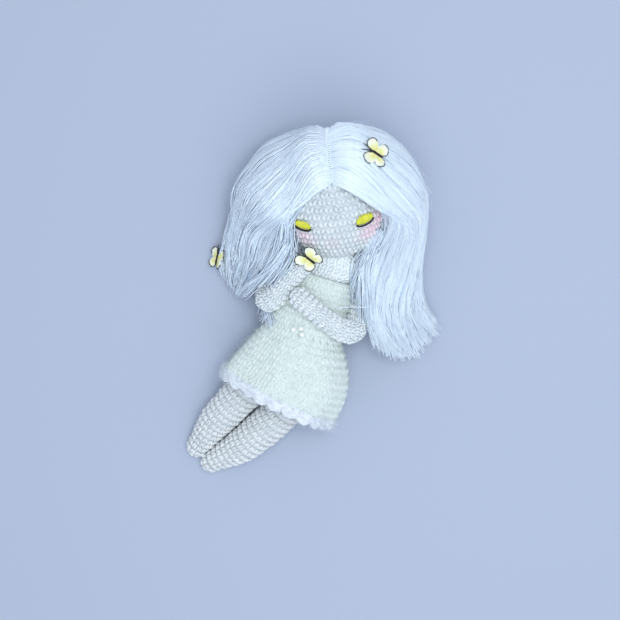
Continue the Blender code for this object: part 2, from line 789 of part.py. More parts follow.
def add_butterfly(name, seat, span, pivot, place):
    """The wings and the body with its two feelers, as two pieces."""
    add_piece(name + "_wings", wing_shape(seat, span), pivot, place, (0.93, 0.90, 0.45), 0.6)
    body = add_piece(name + "_body", butterfly_body_shape(seat, span), pivot, place, (0.02, 0.02, 0.02), 0.6)
    for side, label in ((1, "left"), (-1, "right")):
        shape = antenna_shape(seat, span, side)
        feeler = add_piece(f"{name}_{label}_feeler", shape, pivot, place, (0.02, 0.02, 0.02), 0.6)
        change(body, feeler, "UNION")


COTTON = (0.86, 0.84, 0.80)
WOOL = (0.88, 0.87, 0.74)
WHITE = (0.92, 0.93, 0.95)
THREAD_WHITE = (0.82, 0.87, 0.94)


def build_torso(pivot, arms, legs):
    """The stuffed body with its neck cup, shoulder and hip sockets and the bores of wires and thread."""
    home = Vector()
    torso = add_piece("torso", closed_skin(torso_rings()), pivot, home, COTTON, 0.5)

    def cut(name, shape):
        change(torso, add_piece(name, shape, pivot, home, COTTON, 0.5))

    cut("head_space", closed_skin(skull_rings(CLEARANCE)))
    for name, (path, _) in arms.items():
        shoulder, axis = arm_axis(path)
        top = shoulder + axis * (ARM_TOP_RADIUS + CLEARANCE + WIRE_IN_SHOULDER)
        cut(name + "_socket", ball(shoulder, ARM_TOP_RADIUS + CLEARANCE))
        cut(name + "_wire_bore", rod(shoulder, top + axis * CLEARANCE, WIRE_RADIUS + CLEARANCE))
    for name, (path, _) in legs.items():
        cut(name + "_socket", ball(Vector(path[0]), LEG_TOP_RADIUS + CLEARANCE))
    bore_end = CHIN - HEAD_UP * (PEG_IN_TORSO + CLEARANCE)
    cut("neck_bore", rod(bore_end, CHIN + HEAD_UP * NECK_CUP, PEG_RADIUS + CLEARANCE))
    hip = hip_middle(legs)
    stem_top = Vector((hip.x, -WAIST_TO_SEAT + STEM_IN_TORSO + CLEARANCE, hip.z))
    cut("stem_bore", rod(hip, stem_top, THREAD_RADIUS + CLEARANCE))


def skull_rings(grow):
    """Rings of the head's surface, round its own upright axis, grown outward by a distance."""
    rings = []
    for k in range(1, 20):
        rise = math.pi * k / 20 - math.pi / 2
        ring = []
        for i in range(BODY_SIDES):
            turn = 2 * math.pi * i / BODY_SIDES
            level = HEAD_LEFT * math.cos(turn) + HEAD_FORWARD * math.sin(turn)
            direction = level * math.cos(rise) + HEAD_UP * math.sin(rise)
            ring.append(HEAD + direction * (skull_reach(direction) + grow))
        rings.append(ring)
    return rings


def hip_middle(legs):
    """The point midway between the two hip centres."""
    ends = [Vector(path[0]) for path, _ in legs.values()]
    return (ends[0] + ends[1]) / 2


def build_head(pivot, home):
    """The stuffed head with the bore for its neck peg, the eyelids and the lashes."""
    tips = (HEAD - HEAD_UP * CENTRE_TO_CHIN, HEAD + HEAD_UP * CENTRE_TO_CROWN)
    head = add_piece("head", closed_skin(skull_rings(0.0), tips), pivot, home, COTTON, 0.5)
    low = CHIN - HEAD_UP * CUT_OVERRUN
    bore = rod(low, CHIN + HEAD_UP * (PEG_IN_HEAD + CLEARANCE), PEG_RADIUS + CLEARANCE)
    change(head, add_piece("head_bore", bore, pivot, home, COTTON, 0.5))
    for side, label, tilt in ((1, "left", LEFT_LID_TILT), (-1, "right", RIGHT_LID_TILT)):
        lid = face_patch(side, lid_outline(), tilt, LID_WALL, CLEARANCE)
        add_piece(label + "_eyelid", lid, pivot, home, (0.90, 0.86, 0.02), 0.55)
        lash = strip_patch(side, lash_outline(), tilt, LASH_WALL, CLEARANCE)
        add_piece(label + "_lash", lash, pivot, home, (0.02, 0.02, 0.02), 0.6)


def build_hair(pivot, home):
    """Two crown halves with the sewn part between them, and three loose locks."""
    add_piece("hair_crown_left", crown_shape(1), pivot, home, THREAD_WHITE, 0.45)
    add_piece("hair_crown_right", crown_shape(-1), pivot, home, THREAD_WHITE, 0.45)
    add_piece("hair_lock_left", lock_shape(1, LEFT_LOCK_SHARES), pivot, home, THREAD_WHITE, 0.45)
    add_piece("hair_lock_right", lock_shape(-1, RIGHT_LOCK_SHARES), pivot, home, THREAD_WHITE, 0.45)
    add_piece("hair_lock_back", back_lock_shape(), pivot, home, THREAD_WHITE, 0.45)
    seam = []
    for share in np.linspace(0.02, 0.97, 18):
        part = HAIRLINE + (PART_END - HAIRLINE) * share
        direction = HEAD_UP * math.sin(part) + HEAD_FORWARD * math.cos(part)
        seam.append(HEAD + direction * (skull_reach(direction) + CLEARANCE + SEAM_RADIUS))
    shape = closed_skin(*tube_rings(seam, [SEAM_RADIUS] * len(seam), 8, caps=2))
    add_piece("parting_seam", shape, pivot, home, WHITE, 0.6)


def build_arm(name, line, pivot, home):
    """A stuffed arm with a round top, bored for the wire that it turns on."""
    path, radii = line
    arm = add_piece(name, closed_skin(*tube_rings(path, radii, LIMB_SIDES)), pivot, home, COTTON, 0.5)
    shoulder, axis = arm_axis(path)
    bore = rod(
        shoulder - axis * (WIRE_IN_ARM + CLEARANCE),
        shoulder + axis * (ARM_TOP_RADIUS + CUT_OVERRUN),
        WIRE_RADIUS + CLEARANCE,
    )
    change(arm, add_piece(name + "_bore", bore, pivot, home, COTTON, 0.5))


def build_arm_wire(name, line, pivot):
    """The wire in the upper arm, whose end is fixed in the shoulder."""
    shoulder, axis = arm_axis(line[0])
    start = shoulder - axis * WIRE_IN_ARM
    end = shoulder + axis * (ARM_TOP_RADIUS + CLEARANCE + WIRE_IN_SHOULDER)
    add_piece(name, rod(start, end, WIRE_RADIUS), pivot, Vector(), (0.55, 0.54, 0.50), 0.35, 1.0)


def build_leg(name, line, pivot, home):
    """A stuffed leg with a round top, pressed flat at the toes and bored across for the hip thread."""
    path, radii = line
    rings, tips = tube_rings(path, radii, LIMB_SIDES)
    rings = [[pressed(p) for p in ring] for ring in rings]
    leg = add_piece(name, closed_skin(rings, tuple(pressed(tip) for tip in tips)), pivot, home, COTTON, 0.5)
    hip = Vector(path[0])
    reach = Vector((LEG_TOP_RADIUS + CUT_OVERRUN, 0, 0))
    bore = rod(hip - reach, hip + reach, THREAD_RADIUS + CLEARANCE)
    change(leg, add_piece(name + "_bore", bore, pivot, home, COTTON, 0.5))


def build_hip_thread(pivot, legs):
    """The jointing thread: knotted outside both legs, with a stem sewn up into the body."""
    hip = hip_middle(legs)
    half = HIP_GAP / 2 + 2 * LEG_TOP_RADIUS + CLEARANCE
    outside = Vector((half + KNOT_RADIUS, 0, 0))
    shape = rod(hip - outside, hip + outside, THREAD_RADIUS)
    thread = add_piece("hip_thread", shape, pivot, Vector(), WHITE, 0.6)
    stem = rod(hip, Vector((hip.x, -WAIST_TO_SEAT + STEM_IN_TORSO, hip.z)), THREAD_RADIUS * 0.9)
    change(thread, add_piece("thread_stem", stem, pivot, Vector(), WHITE, 0.6), "UNION")
    for side, label in ((1, "left"), (-1, "right")):
        knot = ball(hip + outside * side, KNOT_RADIUS, 10)
        change(thread, add_piece(f"{label}_knot", knot, pivot, Vector(), WHITE, 0.6), "UNION")


def build_dress(pivot):
    """The bodice round the chest, the flared skirt, its scalloped edging and the waist pearls."""
    home = Vector()
    outer, inner = [], []
    for y in np.linspace(0, WAIST_TO_BUST, 7):
        for rings, inset in ((outer, 0), (inner, DRESS_WALL)):
            wide, deep = dress_half(y)
            ring = []
            for k in range(CLOTH_SIDES):
                turn = 2 * math.pi * k / CLOTH_SIDES
                height = TORSO_HEIGHT + (deep - inset) * math.sin(turn)
                ring.append(Vector(((wide - inset) * math.cos(turn), y, height)))
            rings.append(ring)
    add_piece("dress_bodice", walled_ring(outer, inner), pivot, home, WOOL, 0.9)
    add_piece("dress_skirt", walled_ring(skirt_rings(0), skirt_rings(DRESS_WALL)), pivot, home, WOOL, 0.9)
    add_piece("hem_trim", trim_shape(), pivot, home, WHITE, 0.9)
    for number, (degrees, drop) in enumerate(zip(PEARL_ANGLES, PEARL_DROPS), 1):
        seat = round_the_body(degrees, drop, CLEARANCE + PEARL_RADIUS)
        add_piece(f"waist_pearl_{number}", ball(seat, PEARL_RADIUS, 10), pivot, home, (0.93, 0.91, 0.88), 0.2)


def butterfly_seats(arms):
    """Where each butterfly sits: on the crown's hair, on the raised hand and on the right lock's edge."""
    on_crown = crown_point(1, *CROWN_SEAT_SHARES, True)
    beside = crown_point(1, CROWN_SEAT_SHARES[0] + SEAT_STEP, CROWN_SEAT_SHARES[1], True) - on_crown
    below = crown_point(1, CROWN_SEAT_SHARES[0], CROWN_SEAT_SHARES[1] + SEAT_STEP, True) - on_crown
    away = beside.cross(below).normalized()
    away *= math.copysign(1, away.dot(on_crown - HEAD))
    lifted = on_crown + away * (CLEARANCE + CROWN_SEAT_LIFT)
    crown = perch(lifted, away + UP * CROWN_SEAT_TILT, HEAD_UP * 0.5 - HEAD_LEFT)
    path, radii = arms["right_arm"]
    out = Vector(HAND_SEAT_NORMAL).normalized()
    ahead = Vector((0.33, 0.94, 0))
    ahead = (ahead - out * out.dot(ahead)).normalized()
    palm = Vector(path[-1]) + out * (radii[-1] + CLEARANCE / 2)
    on_hand = perch(palm + ahead * HAND_BUTTERFLY_SPAN * HAND_SEAT_SHARE, out, Vector((-0.9, 0.5, 0)))
    upper, lower = Vector(RIGHT_LOCK_SHARES[1][2]), Vector(RIGHT_LOCK_SHARES[2][2])
    edge = upper.lerp(lower, LOCK_SEAT_SHARE)
    corner = Vector((edge.x * LOCK_SPREAD, edge.y * LOCK_REACH, edge.z * LOCK_HEIGHT))
    aside = Vector((-0.75, 0, 0.65)).normalized()
    on_lock = perch(corner + aside * 4 * CLEARANCE, aside, Vector((0, 1, 0)))
    return crown, on_hand, on_lock


def centre_over_origin(root):
    """Moves the doll so that the middle of its footprint is over the origin."""
    bpy.context.view_layer.update()
    graph = bpy.context.evaluated_depsgraph_get()
    corners = []
    for thing in bpy.data.objects:
        if thing.type == "MESH" and not thing.hide_render:
            shown = thing.evaluated_get(graph)
            corners += [shown.matrix_world @ v.co for v in shown.data.vertices]
    for axis in (0, 1):
        values = [corner[axis] for corner in corners]
        root.location[axis] = -(min(values) + max(values)) / 2


def main():
    start_empty_scene()
    arms = {"left_arm": arm_line(LEFT_ARM_ROUTE, 1), "right_arm": arm_line(RIGHT_ARM_ROUTE, -1)}
    legs = {"left_leg": leg_line(1), "right_leg": leg_line(-1)}
    doll = add_empty("doll", (0, 0, 0))
    neck = add_empty("neck_pivot", CHIN, doll)
    build_torso(doll, arms, legs)
    build_dress(doll)
    build_hip_thread(doll, legs)
    peg = rod(CHIN - HEAD_UP * PEG_IN_TORSO, CHIN + HEAD_UP * PEG_IN_HEAD, PEG_RADIUS)
    add_piece("neck_peg", peg, doll, Vector(), (0.72, 0.60, 0.42), 0.6)
    build_head(neck, CHIN)
    build_hair(neck, CHIN)
    crown_seat, hand_seat, lock_seat = butterfly_seats(arms)
    add_butterfly("crown_butterfly", crown_seat, CROWN_BUTTERFLY_SPAN, neck, CHIN)
    add_butterfly("lock_butterfly", lock_seat, LOCK_BUTTERFLY_SPAN, neck, CHIN)
    for name, line in arms.items():
        shoulder, _ = arm_axis(line[0])
        pivot = add_empty(name + "_pivot", shoulder, doll)
        build_arm(name, line, pivot, shoulder)
        build_arm_wire(name + "_wire", line, doll)
        if name == "right_arm":
            add_butterfly("hand_butterfly", hand_seat, HAND_BUTTERFLY_SPAN, pivot, shoulder)
    for name, line in legs.items():
        hip = Vector(line[0][0])
        build_leg(name, line, add_empty(name + "_pivot", hip, doll), hip)
    centre_over_origin(doll)


main()
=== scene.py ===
# %% [markdown]
# # A crocheted doll with sewn hair
#
# This lesson dresses a plain solid doll in cotton stitches, fuzzy wool, thousands of threads and three
# little organza butterflies. The solid parts give the shapes, and every visible surface is rebuilt here.
#
# The first cell loads the solid parts. Each later step makes one finish or one kind of piece, and says
# what the real one is and why it is made in this way.

import json
import math

import bpy
import numpy as np
from mathutils import Matrix, Vector

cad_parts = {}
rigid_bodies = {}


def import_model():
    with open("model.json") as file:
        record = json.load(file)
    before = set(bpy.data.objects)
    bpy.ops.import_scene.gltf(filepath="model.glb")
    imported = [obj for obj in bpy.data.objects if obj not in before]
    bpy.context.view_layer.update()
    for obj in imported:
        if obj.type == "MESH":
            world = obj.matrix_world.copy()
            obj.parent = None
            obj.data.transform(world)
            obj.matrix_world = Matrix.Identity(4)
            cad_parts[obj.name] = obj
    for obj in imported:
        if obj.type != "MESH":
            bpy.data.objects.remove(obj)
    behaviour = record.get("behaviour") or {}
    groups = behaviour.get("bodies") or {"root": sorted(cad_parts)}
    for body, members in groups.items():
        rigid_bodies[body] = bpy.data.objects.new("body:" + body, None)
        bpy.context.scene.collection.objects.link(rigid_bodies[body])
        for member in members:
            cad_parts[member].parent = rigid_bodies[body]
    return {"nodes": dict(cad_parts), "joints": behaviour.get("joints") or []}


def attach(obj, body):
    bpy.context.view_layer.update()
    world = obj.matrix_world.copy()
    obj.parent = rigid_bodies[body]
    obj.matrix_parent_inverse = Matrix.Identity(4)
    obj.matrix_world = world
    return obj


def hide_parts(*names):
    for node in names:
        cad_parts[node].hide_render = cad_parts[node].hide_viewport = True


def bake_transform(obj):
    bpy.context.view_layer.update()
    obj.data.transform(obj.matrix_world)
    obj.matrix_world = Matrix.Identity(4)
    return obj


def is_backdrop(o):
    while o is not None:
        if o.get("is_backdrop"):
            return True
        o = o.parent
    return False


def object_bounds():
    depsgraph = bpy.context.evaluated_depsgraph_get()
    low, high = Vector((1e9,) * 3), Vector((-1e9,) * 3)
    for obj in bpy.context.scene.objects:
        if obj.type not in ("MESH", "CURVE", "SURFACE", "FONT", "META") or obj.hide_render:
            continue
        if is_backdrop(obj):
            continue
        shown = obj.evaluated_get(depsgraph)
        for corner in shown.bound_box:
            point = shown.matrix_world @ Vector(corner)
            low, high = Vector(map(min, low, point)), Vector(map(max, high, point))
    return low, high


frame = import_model()
START_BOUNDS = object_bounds()
RNG = np.random.default_rng(7)

# %% [markdown]
# ## Sizes
#
# A maker of such a doll counts stitches, and here lengths in metres take their place. They repeat those
# that the solid doll was made with, so that each finish lies on its solid. A table with shares in its name
# holds parts of the length that it follows.

# %% Torso, arm and leg sizes
CLEARANCE = 0.00035
TORSO_HEIGHT = 0.0125
WAIST_TO_SEAT = 0.0076
WAIST_TO_SHOULDER = 0.0236
CHEST_WIDTH = 0.0168
CHEST_DEPTH = 0.0138
TORSO_SHARES = (
    (-1.00, 1.12, 0.93),
    (-0.86, 1.24, 1.04),
    (-0.30, 1.23, 1.06),
    (0.14, 1.14, 1.03),
    (0.40, 1.04, 1.01),
    (0.65, 1.00, 1.00),
    (0.79, 1.00, 0.96),
    (0.85, 1.20, 0.86),
    (0.90, 1.42, 0.77),
    (0.95, 1.48, 0.70),
    (0.985, 1.32, 0.62),
)
ARM_TOP_RADIUS = 0.0030
ELBOW_RADIUS = 0.0032
WRIST_RADIUS = 0.0027
HAND_RADIUS = 0.0028
SHOULDER_DROP = 0.0046
ARM_ROUTES = {
    1: ((3, 0.60), (4, 0.42), (10, 0.28), (27, 0.22), (50, 0.24), (72, 0.31), (92, 0.39), (109, 0.46)),
    -1: ((177, 0.62), (176, 0.47), (170, 0.33), (158, 0.26), (147, 0.34), (138, 0.53), (129, 0.71), (119, 0.87)),
}
ARM_RADIUS_SHARES = (0.0, 0.28, 0.45, 0.72, 1.0)
LEG_TOP_RADIUS = 0.0055
CALF_RADIUS = 0.0051
TOE_RADIUS = 0.0030
HIP_BELOW_SEAT = 0.0018
HIP_GAP = 0.0019
FOOT_GAP = 0.0005
LEG_REACH = 0.0392
LEG_SWEEP = 0.0180
HIP_HEIGHT = 0.0116
FLAT_DEPTH = 0.0005
LEG_ROUTE_SHARES = (
    (0.00, 0.00, 1.00),
    (0.15, 0.07, 0.93),
    (0.36, 0.26, 0.77),
    (0.62, 0.54, 0.52),
    (0.83, 0.79, 0.24),
    (1.00, 1.00, 0.00),
)
SIDES = ((1, "left"), (-1, "right"))
print("the torso is", round((WAIST_TO_SEAT + WAIST_TO_SHOULDER) * 1000, 1), "mm tall")

# %% Dress sizes
DRESS_WALL = 0.0014
WAIST_TO_BUST = 0.0182
HEM_WIDTH = 0.0364
HEM_DEPTH = 0.0252
SKIRT_LENGTH = 0.0206
HEM_SIDE = -0.0017
SKIRT_SWAY = 0.0013
HEM_SLANT = 0.0056
SKIRT_ROUNDNESS = 2.2
FOLD_DEPTH = 0.0005
FOLDS = 7
print("the hem is", round(HEM_WIDTH * 1000, 1), "mm wide")

# %% [markdown]
# ## The head's place
#
# The doll leans its head to one side. The neck joint knows where the chin is and which way the head
# stands, so the place and the directions of the head come from the joint and not from typed numbers.

# %% Head sizes and place
HEAD_WIDTH = 0.0312
HEAD_DEPTH = 0.0305
CENTRE_TO_CROWN = 0.0212
CENTRE_TO_CHIN = 0.0160
NECK_SIDE = 0.0028
NECK_GAP = 0.0029
NECK_RADIUS = 0.0040

UP = Vector((0, 0, 1))
NECK = next(j for j in frame["joints"] if j["name"] == "neck_turn")
CHIN = Vector(NECK["pos_m"])
HEAD_UP = Vector(NECK["axis"]).normalized()
HEAD_FORWARD = (UP - HEAD_UP * UP.dot(HEAD_UP)).normalized()
HEAD_LEFT = HEAD_UP.cross(HEAD_FORWARD)
HEAD = CHIN + HEAD_UP * CENTRE_TO_CHIN
WAIST = Vector((CHIN.x - NECK_SIDE, CHIN.y - WAIST_TO_SHOULDER - NECK_GAP, 0))
print("head centre:", [round(v, 4) for v in HEAD], "waist:", [round(v, 4) for v in WAIST])

# %% [markdown]
# ## Shapes that the finishes follow
#
# Crochet is worked in rounds, so each soft part is described as a stack of closed rings. Stitches, fuzz and
# cloth all use the same rings, and so agree about where the surface is. A ring stack is an array of ring,
# point on the ring, and coordinate.
#
# An arm or a leg is a tube round a smooth path. Its rings are carried along without a twist, and both of
# its ends are rounded.


# %% Smooth paths and tubes
def smooth_path(points, count):
    """Points spread evenly along a smooth curve through the given ones."""
    points = [np.array(p, float) for p in points]
    points = [2 * points[0] - points[1], *points, 2 * points[-1] - points[-2]]
    t = np.linspace(0, 1, 24, endpoint=False)[:, None]
    fine = [
        0.5 * (2 * b + (c - a) * t + (2 * a - 5 * b + 4 * c - d) * t**2 + (3 * b - a - 3 * c + d) * t**3)
        for a, b, c, d in zip(points, points[1:], points[2:], points[3:])
    ]
    fine = np.concatenate([*fine, points[-2][None]])
    length = np.concatenate([[0], np.cumsum(np.linalg.norm(np.diff(fine, axis=0), axis=1))])
    even = np.linspace(0, length[-1], count)
    return np.stack([np.interp(even, length, fine[:, k]) for k in range(3)], axis=1)


def tube_rings(path, radii, sides=48, caps=7):
    """Rings round a path that keep from twisting, rounded at both ends."""
    path = [Vector(p) for p in path]
    ahead = [(b - a).normalized() for a, b in zip(path, path[1:])]
    tangents = [ahead[0], *[(a + b).normalized() for a, b in zip(ahead, ahead[1:])], ahead[-1]]
    across = tangents[0].orthogonal().normalized()
    around = np.linspace(0, 2 * math.pi, sides, endpoint=False)[:, None]
    rings = []
    for step, (point, tangent, radius) in enumerate(zip(path, tangents, radii)):
        across = (across - tangent * across.dot(tangent)).normalized()
        other = tangent.cross(across)
        turns = [0]
        if step == 0:
            turns = [-math.pi / 2 * (1 - (k + 0.25) / caps) for k in range(caps)] + [0]
        if step == len(path) - 1:
            turns = [0] + [math.pi / 2 * (k + 0.75) / caps for k in range(caps)]
        for turn in turns:
            centre = np.array(point + tangent * radius * math.sin(turn))
            spoke = np.cos(around) * np.array(across) + np.sin(around) * np.array(other)
            rings.append(centre + spoke * radius * math.cos(turn))
    return np.array(rings)


print("a tube of 3 points has", len(tube_rings([(0, 0, 0), (0, 1, 0), (0, 2, 0)], [1, 1, 1])), "rings")


# %% Torso outline
def torso_half(y):
    """Half the torso's width and depth at a place along it."""
    share = y / (WAIST_TO_SHOULDER if y > 0 else WAIST_TO_SEAT)
    places, widths, depths = zip(*TORSO_SHARES)
    return np.interp(share, places, widths) * CHEST_WIDTH / 2, np.interp(share, places, depths) * CHEST_DEPTH / 2


def dress_half(y):
    """Half the bodice's outer width and depth."""
    wide, deep = torso_half(min(y, WAIST_TO_BUST))
    return wide + CLEARANCE + DRESS_WALL, deep + CLEARANCE + DRESS_WALL


def round_the_body(degrees, y, away):
    """A point that lies a distance outside the bodice, at an angle from the doll's left side."""
    wide, deep = dress_half(y)
    turn = math.radians(degrees)
    return WAIST + Vector((math.cos(turn) * (wide + away), y, TORSO_HEIGHT + math.sin(turn) * (deep + away)))


print("half the waist:", [round(v * 1000, 1) for v in dress_half(0)], "mm")


# %% Arm and leg rings
def arm_rings(side):
    """The rings of one arm, from its shoulder to its hand."""
    shoulder = WAIST_TO_SHOULDER - SHOULDER_DROP
    points = [round_the_body(0 if side > 0 else 180, shoulder, CLEARANCE + ARM_TOP_RADIUS)]
    sizes = (ARM_TOP_RADIUS, ELBOW_RADIUS, ELBOW_RADIUS, WRIST_RADIUS, HAND_RADIUS)
    route = ARM_ROUTES[side]
    for step, (degrees, share) in enumerate(route):
        radius = np.interp((step + 1) / len(route), ARM_RADIUS_SHARES, sizes)
        points.append(round_the_body(degrees, share * WAIST_TO_SHOULDER, CLEARANCE + radius))
    path = smooth_path(points, 40)
    return tube_rings(path, np.interp(np.linspace(0, 1, 40), ARM_RADIUS_SHARES, sizes))


def leg_rings(side):
    """The rings of one leg, from its hip to its toes."""
    shares = np.linspace(0, 1, 40)
    hip = -WAIST_TO_SEAT - HIP_BELOW_SEAT
    middle = smooth_path([(-s * LEG_SWEEP, hip - r * LEG_REACH, z) for r, s, z in LEG_ROUTE_SHARES], 40)
    radii = np.interp(shares, (0, 0.35, 0.65, 1), (LEG_TOP_RADIUS, LEG_TOP_RADIUS, CALF_RADIUS, TOE_RADIUS))
    low = TOE_RADIUS - FLAT_DEPTH
    path = []
    for step, point in enumerate(middle):
        before, after = middle[max(step - 1, 0)], middle[min(step + 1, 39)]
        along = Vector((after[0] - before[0], after[1] - before[1], 0)).normalized()
        beside = Vector((-along.y, along.x, 0)) * side
        gap = HIP_GAP + (FOOT_GAP - HIP_GAP) * shares[step]
        place = WAIST + Vector((point[0], point[1], 0)) + beside * (radii[step] + gap / 2)
        place.z = low + (HIP_HEIGHT - low) * point[2]
        path.append(place)
    return tube_rings(path, radii)


print("rings of an arm:", len(arm_rings(1)), "and of a leg:", len(leg_rings(1)))

# %% [markdown]
# The torso's rings are ellipses that lean forward into the neck. The head is an egg, so its rings are
# found by asking how far its surface is in each direction.


# %% Torso and head rings
def torso_rings(sides=64):
    """The rings of the torso, from the seat up to the neck."""
    around = np.linspace(0, 2 * math.pi, sides, endpoint=False)
    top, first = TORSO_SHARES[-1][0], TORSO_SHARES[6][0]
    rings = []
    for share in np.linspace(-1, top, 40):
        y = share * (WAIST_TO_SHOULDER if share > 0 else WAIST_TO_SEAT)
        wide, deep = torso_half(y)
        lean = max(0.0, (share - first) / (top - first)) ** 2
        x = NECK_SIDE * lean * 0.5 + wide * np.cos(around)
        z = TORSO_HEIGHT + (CHIN.z - TORSO_HEIGHT) * lean * 0.6 + deep * np.sin(around)
        rings.append(np.stack([WAIST.x + x, np.full(sides, WAIST.y + y), z], axis=1))
    across = Vector((1, 0, 0))
    across = np.array((across - HEAD_UP * across.dot(HEAD_UP)).normalized())
    other = np.cross(across, np.array(HEAD_UP))
    for rise in (0.0006, 0.0014):
        middle = np.array(CHIN + HEAD_UP * rise)
        spokes = np.cos(around)[:, None] * across + np.sin(around)[:, None] * other
        rings.append(middle + spokes * NECK_RADIUS)
    return np.array(rings)


def skull_reach(direction):
    """How far the head's surface is from its centre along a unit direction."""
    rise = direction.dot(HEAD_UP)
    half = CENTRE_TO_CROWN if rise > 0 else CENTRE_TO_CHIN
    side = direction.dot(HEAD_LEFT) / (HEAD_WIDTH / 2)
    front = direction.dot(HEAD_FORWARD) / (HEAD_DEPTH / 2)
    return 1 / math.sqrt(side * side + front * front + (rise / half) ** 2)


def head_rings(sides=72, rows=60):
    """The rings of the head round its own upright axis, from the chin to the crown."""
    rings = []
    for rise in np.linspace(-0.49 * math.pi, 0.49 * math.pi, rows):
        ring = []
        for turn in np.linspace(0, 2 * math.pi, sides, endpoint=False):
            level = HEAD_LEFT * math.sin(turn) + HEAD_FORWARD * math.cos(turn)
            direction = level * math.cos(rise) + HEAD_UP * math.sin(rise)
            ring.append(HEAD + direction * skull_reach(direction))
        rings.append([tuple(p) for p in ring])
    return np.array(rings)


print("rings of the torso:", len(torso_rings()), "and of the head:", len(head_rings()))


# %% Bodice and skirt rings
def bodice_rings(sides=72):
    """The rings of the bodice, from the waist to the bust."""
    around = np.linspace(0, 2 * math.pi, sides, endpoint=False)
    rings = []
    for y in np.linspace(0, WAIST_TO_BUST, 30):
        wide, deep = dress_half(y)
        x, z = WAIST.x + wide * np.cos(around), TORSO_HEIGHT + deep * np.sin(around)
        rings.append(np.stack([x, np.full(sides, WAIST.y + y), z], axis=1))
    return np.array(rings)


def skirt_rings(sides=96, rows=36):
    """The rings of the skirt from the waist to its slanted hem, with its soft folds."""
    around = np.linspace(0, 2 * math.pi, sides, endpoint=False)
    wide_top, deep_top = dress_half(0)
    rings = []
    for share in np.linspace(0, 1, rows):
        flare = 1 - (1 - share) ** SKIRT_ROUNDNESS
        wide = wide_top + (HEM_WIDTH / 2 - wide_top) * flare
        deep = deep_top + (HEM_DEPTH / 2 - deep_top) * flare
        rise = TORSO_HEIGHT + (HEM_DEPTH / 2 - FLAT_DEPTH - TORSO_HEIGHT) * flare
        fold = FOLD_DEPTH * flare * np.cos(FOLDS * around)
        x = HEM_SIDE * share + SKIRT_SWAY * math.sin(math.pi * share) + (wide + fold) * np.cos(around)
        hem = -SKIRT_LENGTH - HEM_SLANT * (x - HEM_SIDE) / HEM_WIDTH
        y = -CLEARANCE + (hem + CLEARANCE) * share
        z = np.maximum(rise + (deep + fold) * np.sin(around), 0.0)
        rings.append(np.stack([WAIST.x + x, WAIST.y + y, z], axis=1))
    return np.array(rings)


BODICE, SKIRT = bodice_rings(), skirt_rings()
print("rings of the bodice:", len(BODICE), "and of the skirt:", len(SKIRT))

# %% [markdown]
# Each round of crochet stands a little proud and leaves a groove to the next. Closer rings that swell at
# every row give the surface beneath the stitches that same ripple.


# %% Ring helpers
def shrunk(rings, distance):
    """The same rings moved toward their own middles."""
    middle = rings.mean(axis=1, keepdims=True)
    out = rings - middle
    reach = np.linalg.norm(out, axis=2, keepdims=True)
    return middle + out * np.maximum(reach - distance, reach * 0.2) / reach


def travel_along(rings):
    """The mean distance from the first ring to each ring."""
    steps = np.linalg.norm(np.diff(rings, axis=0), axis=2).mean(axis=1)
    return np.concatenate([[0], np.cumsum(steps)])


def ring_at(rings, where):
    """A ring between two of a stack, by its number with a fraction."""
    low = np.minimum(np.asarray(where).astype(int), len(rings) - 2)
    part = np.asarray(where - low)[..., None, None]
    return rings[low] + (rings[low + 1] - rings[low]) * part


def ridged(rings, pitch, depth, steps=6):
    """The same surface in closer rings that swell at each row of stitches."""
    travel = travel_along(rings)
    count = max(2, round(travel[-1] / pitch)) * steps + 1
    places = np.interp(np.linspace(0, travel[-1], count), travel, np.arange(len(rings)))
    wave = np.cos(2 * math.pi * np.arange(count) / steps)[:, None, None]
    return shrunk(ring_at(rings, places), depth * wave)


print("the skirt is", round(travel_along(SKIRT)[-1] * 1000, 1), "mm long")

# %% [markdown]
# ## From numbers to meshes
#
# Cloth and stuffed parts could be sculpted by hand. Here they are arrays of points, because a script can
# repeat these exactly. The helpers turn arrays into closed meshes whose faces point outwards. Nothing
# goes below the surface that the doll lies on.


# %% Mesh helpers
SKIN_FLOOR, THREAD_FLOOR, HAIR_FLOOR = 0.00005, 0.00004, 0.0003


def above(points, height):
    """The same points, none of them lower than a height over the floor."""
    points = np.array(points, float)
    points[..., 2] = np.maximum(points[..., 2], height)
    return points


def add_object(name, data):
    """A new object at the origin."""
    thing = bpy.data.objects.new(name, data)
    bpy.context.scene.collection.objects.link(thing)
    return thing


def add_mesh(name, points, faces=(), edges=(), material=None, values=None):
    """A mesh object, with optional named numbers for each point."""
    mesh = bpy.data.meshes.new(name)
    mesh.from_pydata([tuple(p) for p in points], list(edges), [tuple(f) for f in faces])
    for key, numbers in (values or {}).items():
        numbers = np.asarray(numbers, np.float32)
        kind = "FLOAT" if numbers.ndim == 1 else "FLOAT_VECTOR"
        layer = mesh.attributes.new(key, kind, "POINT")
        layer.data.foreach_set("value" if kind == "FLOAT" else "vector", numbers.ravel())
    mesh.shade_smooth()
    if material:
        mesh.materials.append(material)
    return add_object(name, mesh)


def grid_faces(rows, columns, wrap=True):
    """The faces of a grid of points, whose rows may close on themselves."""
    across = [(c, (c + 1) % columns) for c in range(columns if wrap else columns - 1)]
    rises = range(0, (rows - 1) * columns, columns)
    return [(r + a, r + b, r + columns + b, r + columns + a) for r in rises for a, b in across]


def plate_faces(rows, columns, wrap=False):
    """The faces of a grid, of the same grid again behind it, and of the rims that join the two."""
    front, shift = grid_faces(rows, columns, wrap), rows * columns
    edges = {edge for face in front for edge in zip(face, face[1:] + face[:1])}
    rims = sorted(edges - {(b, a) for a, b in edges})
    back = [tuple(shift + i for i in reversed(face)) for face in front]
    return front + back + [(b, a, shift + a, shift + b) for a, b in rims]


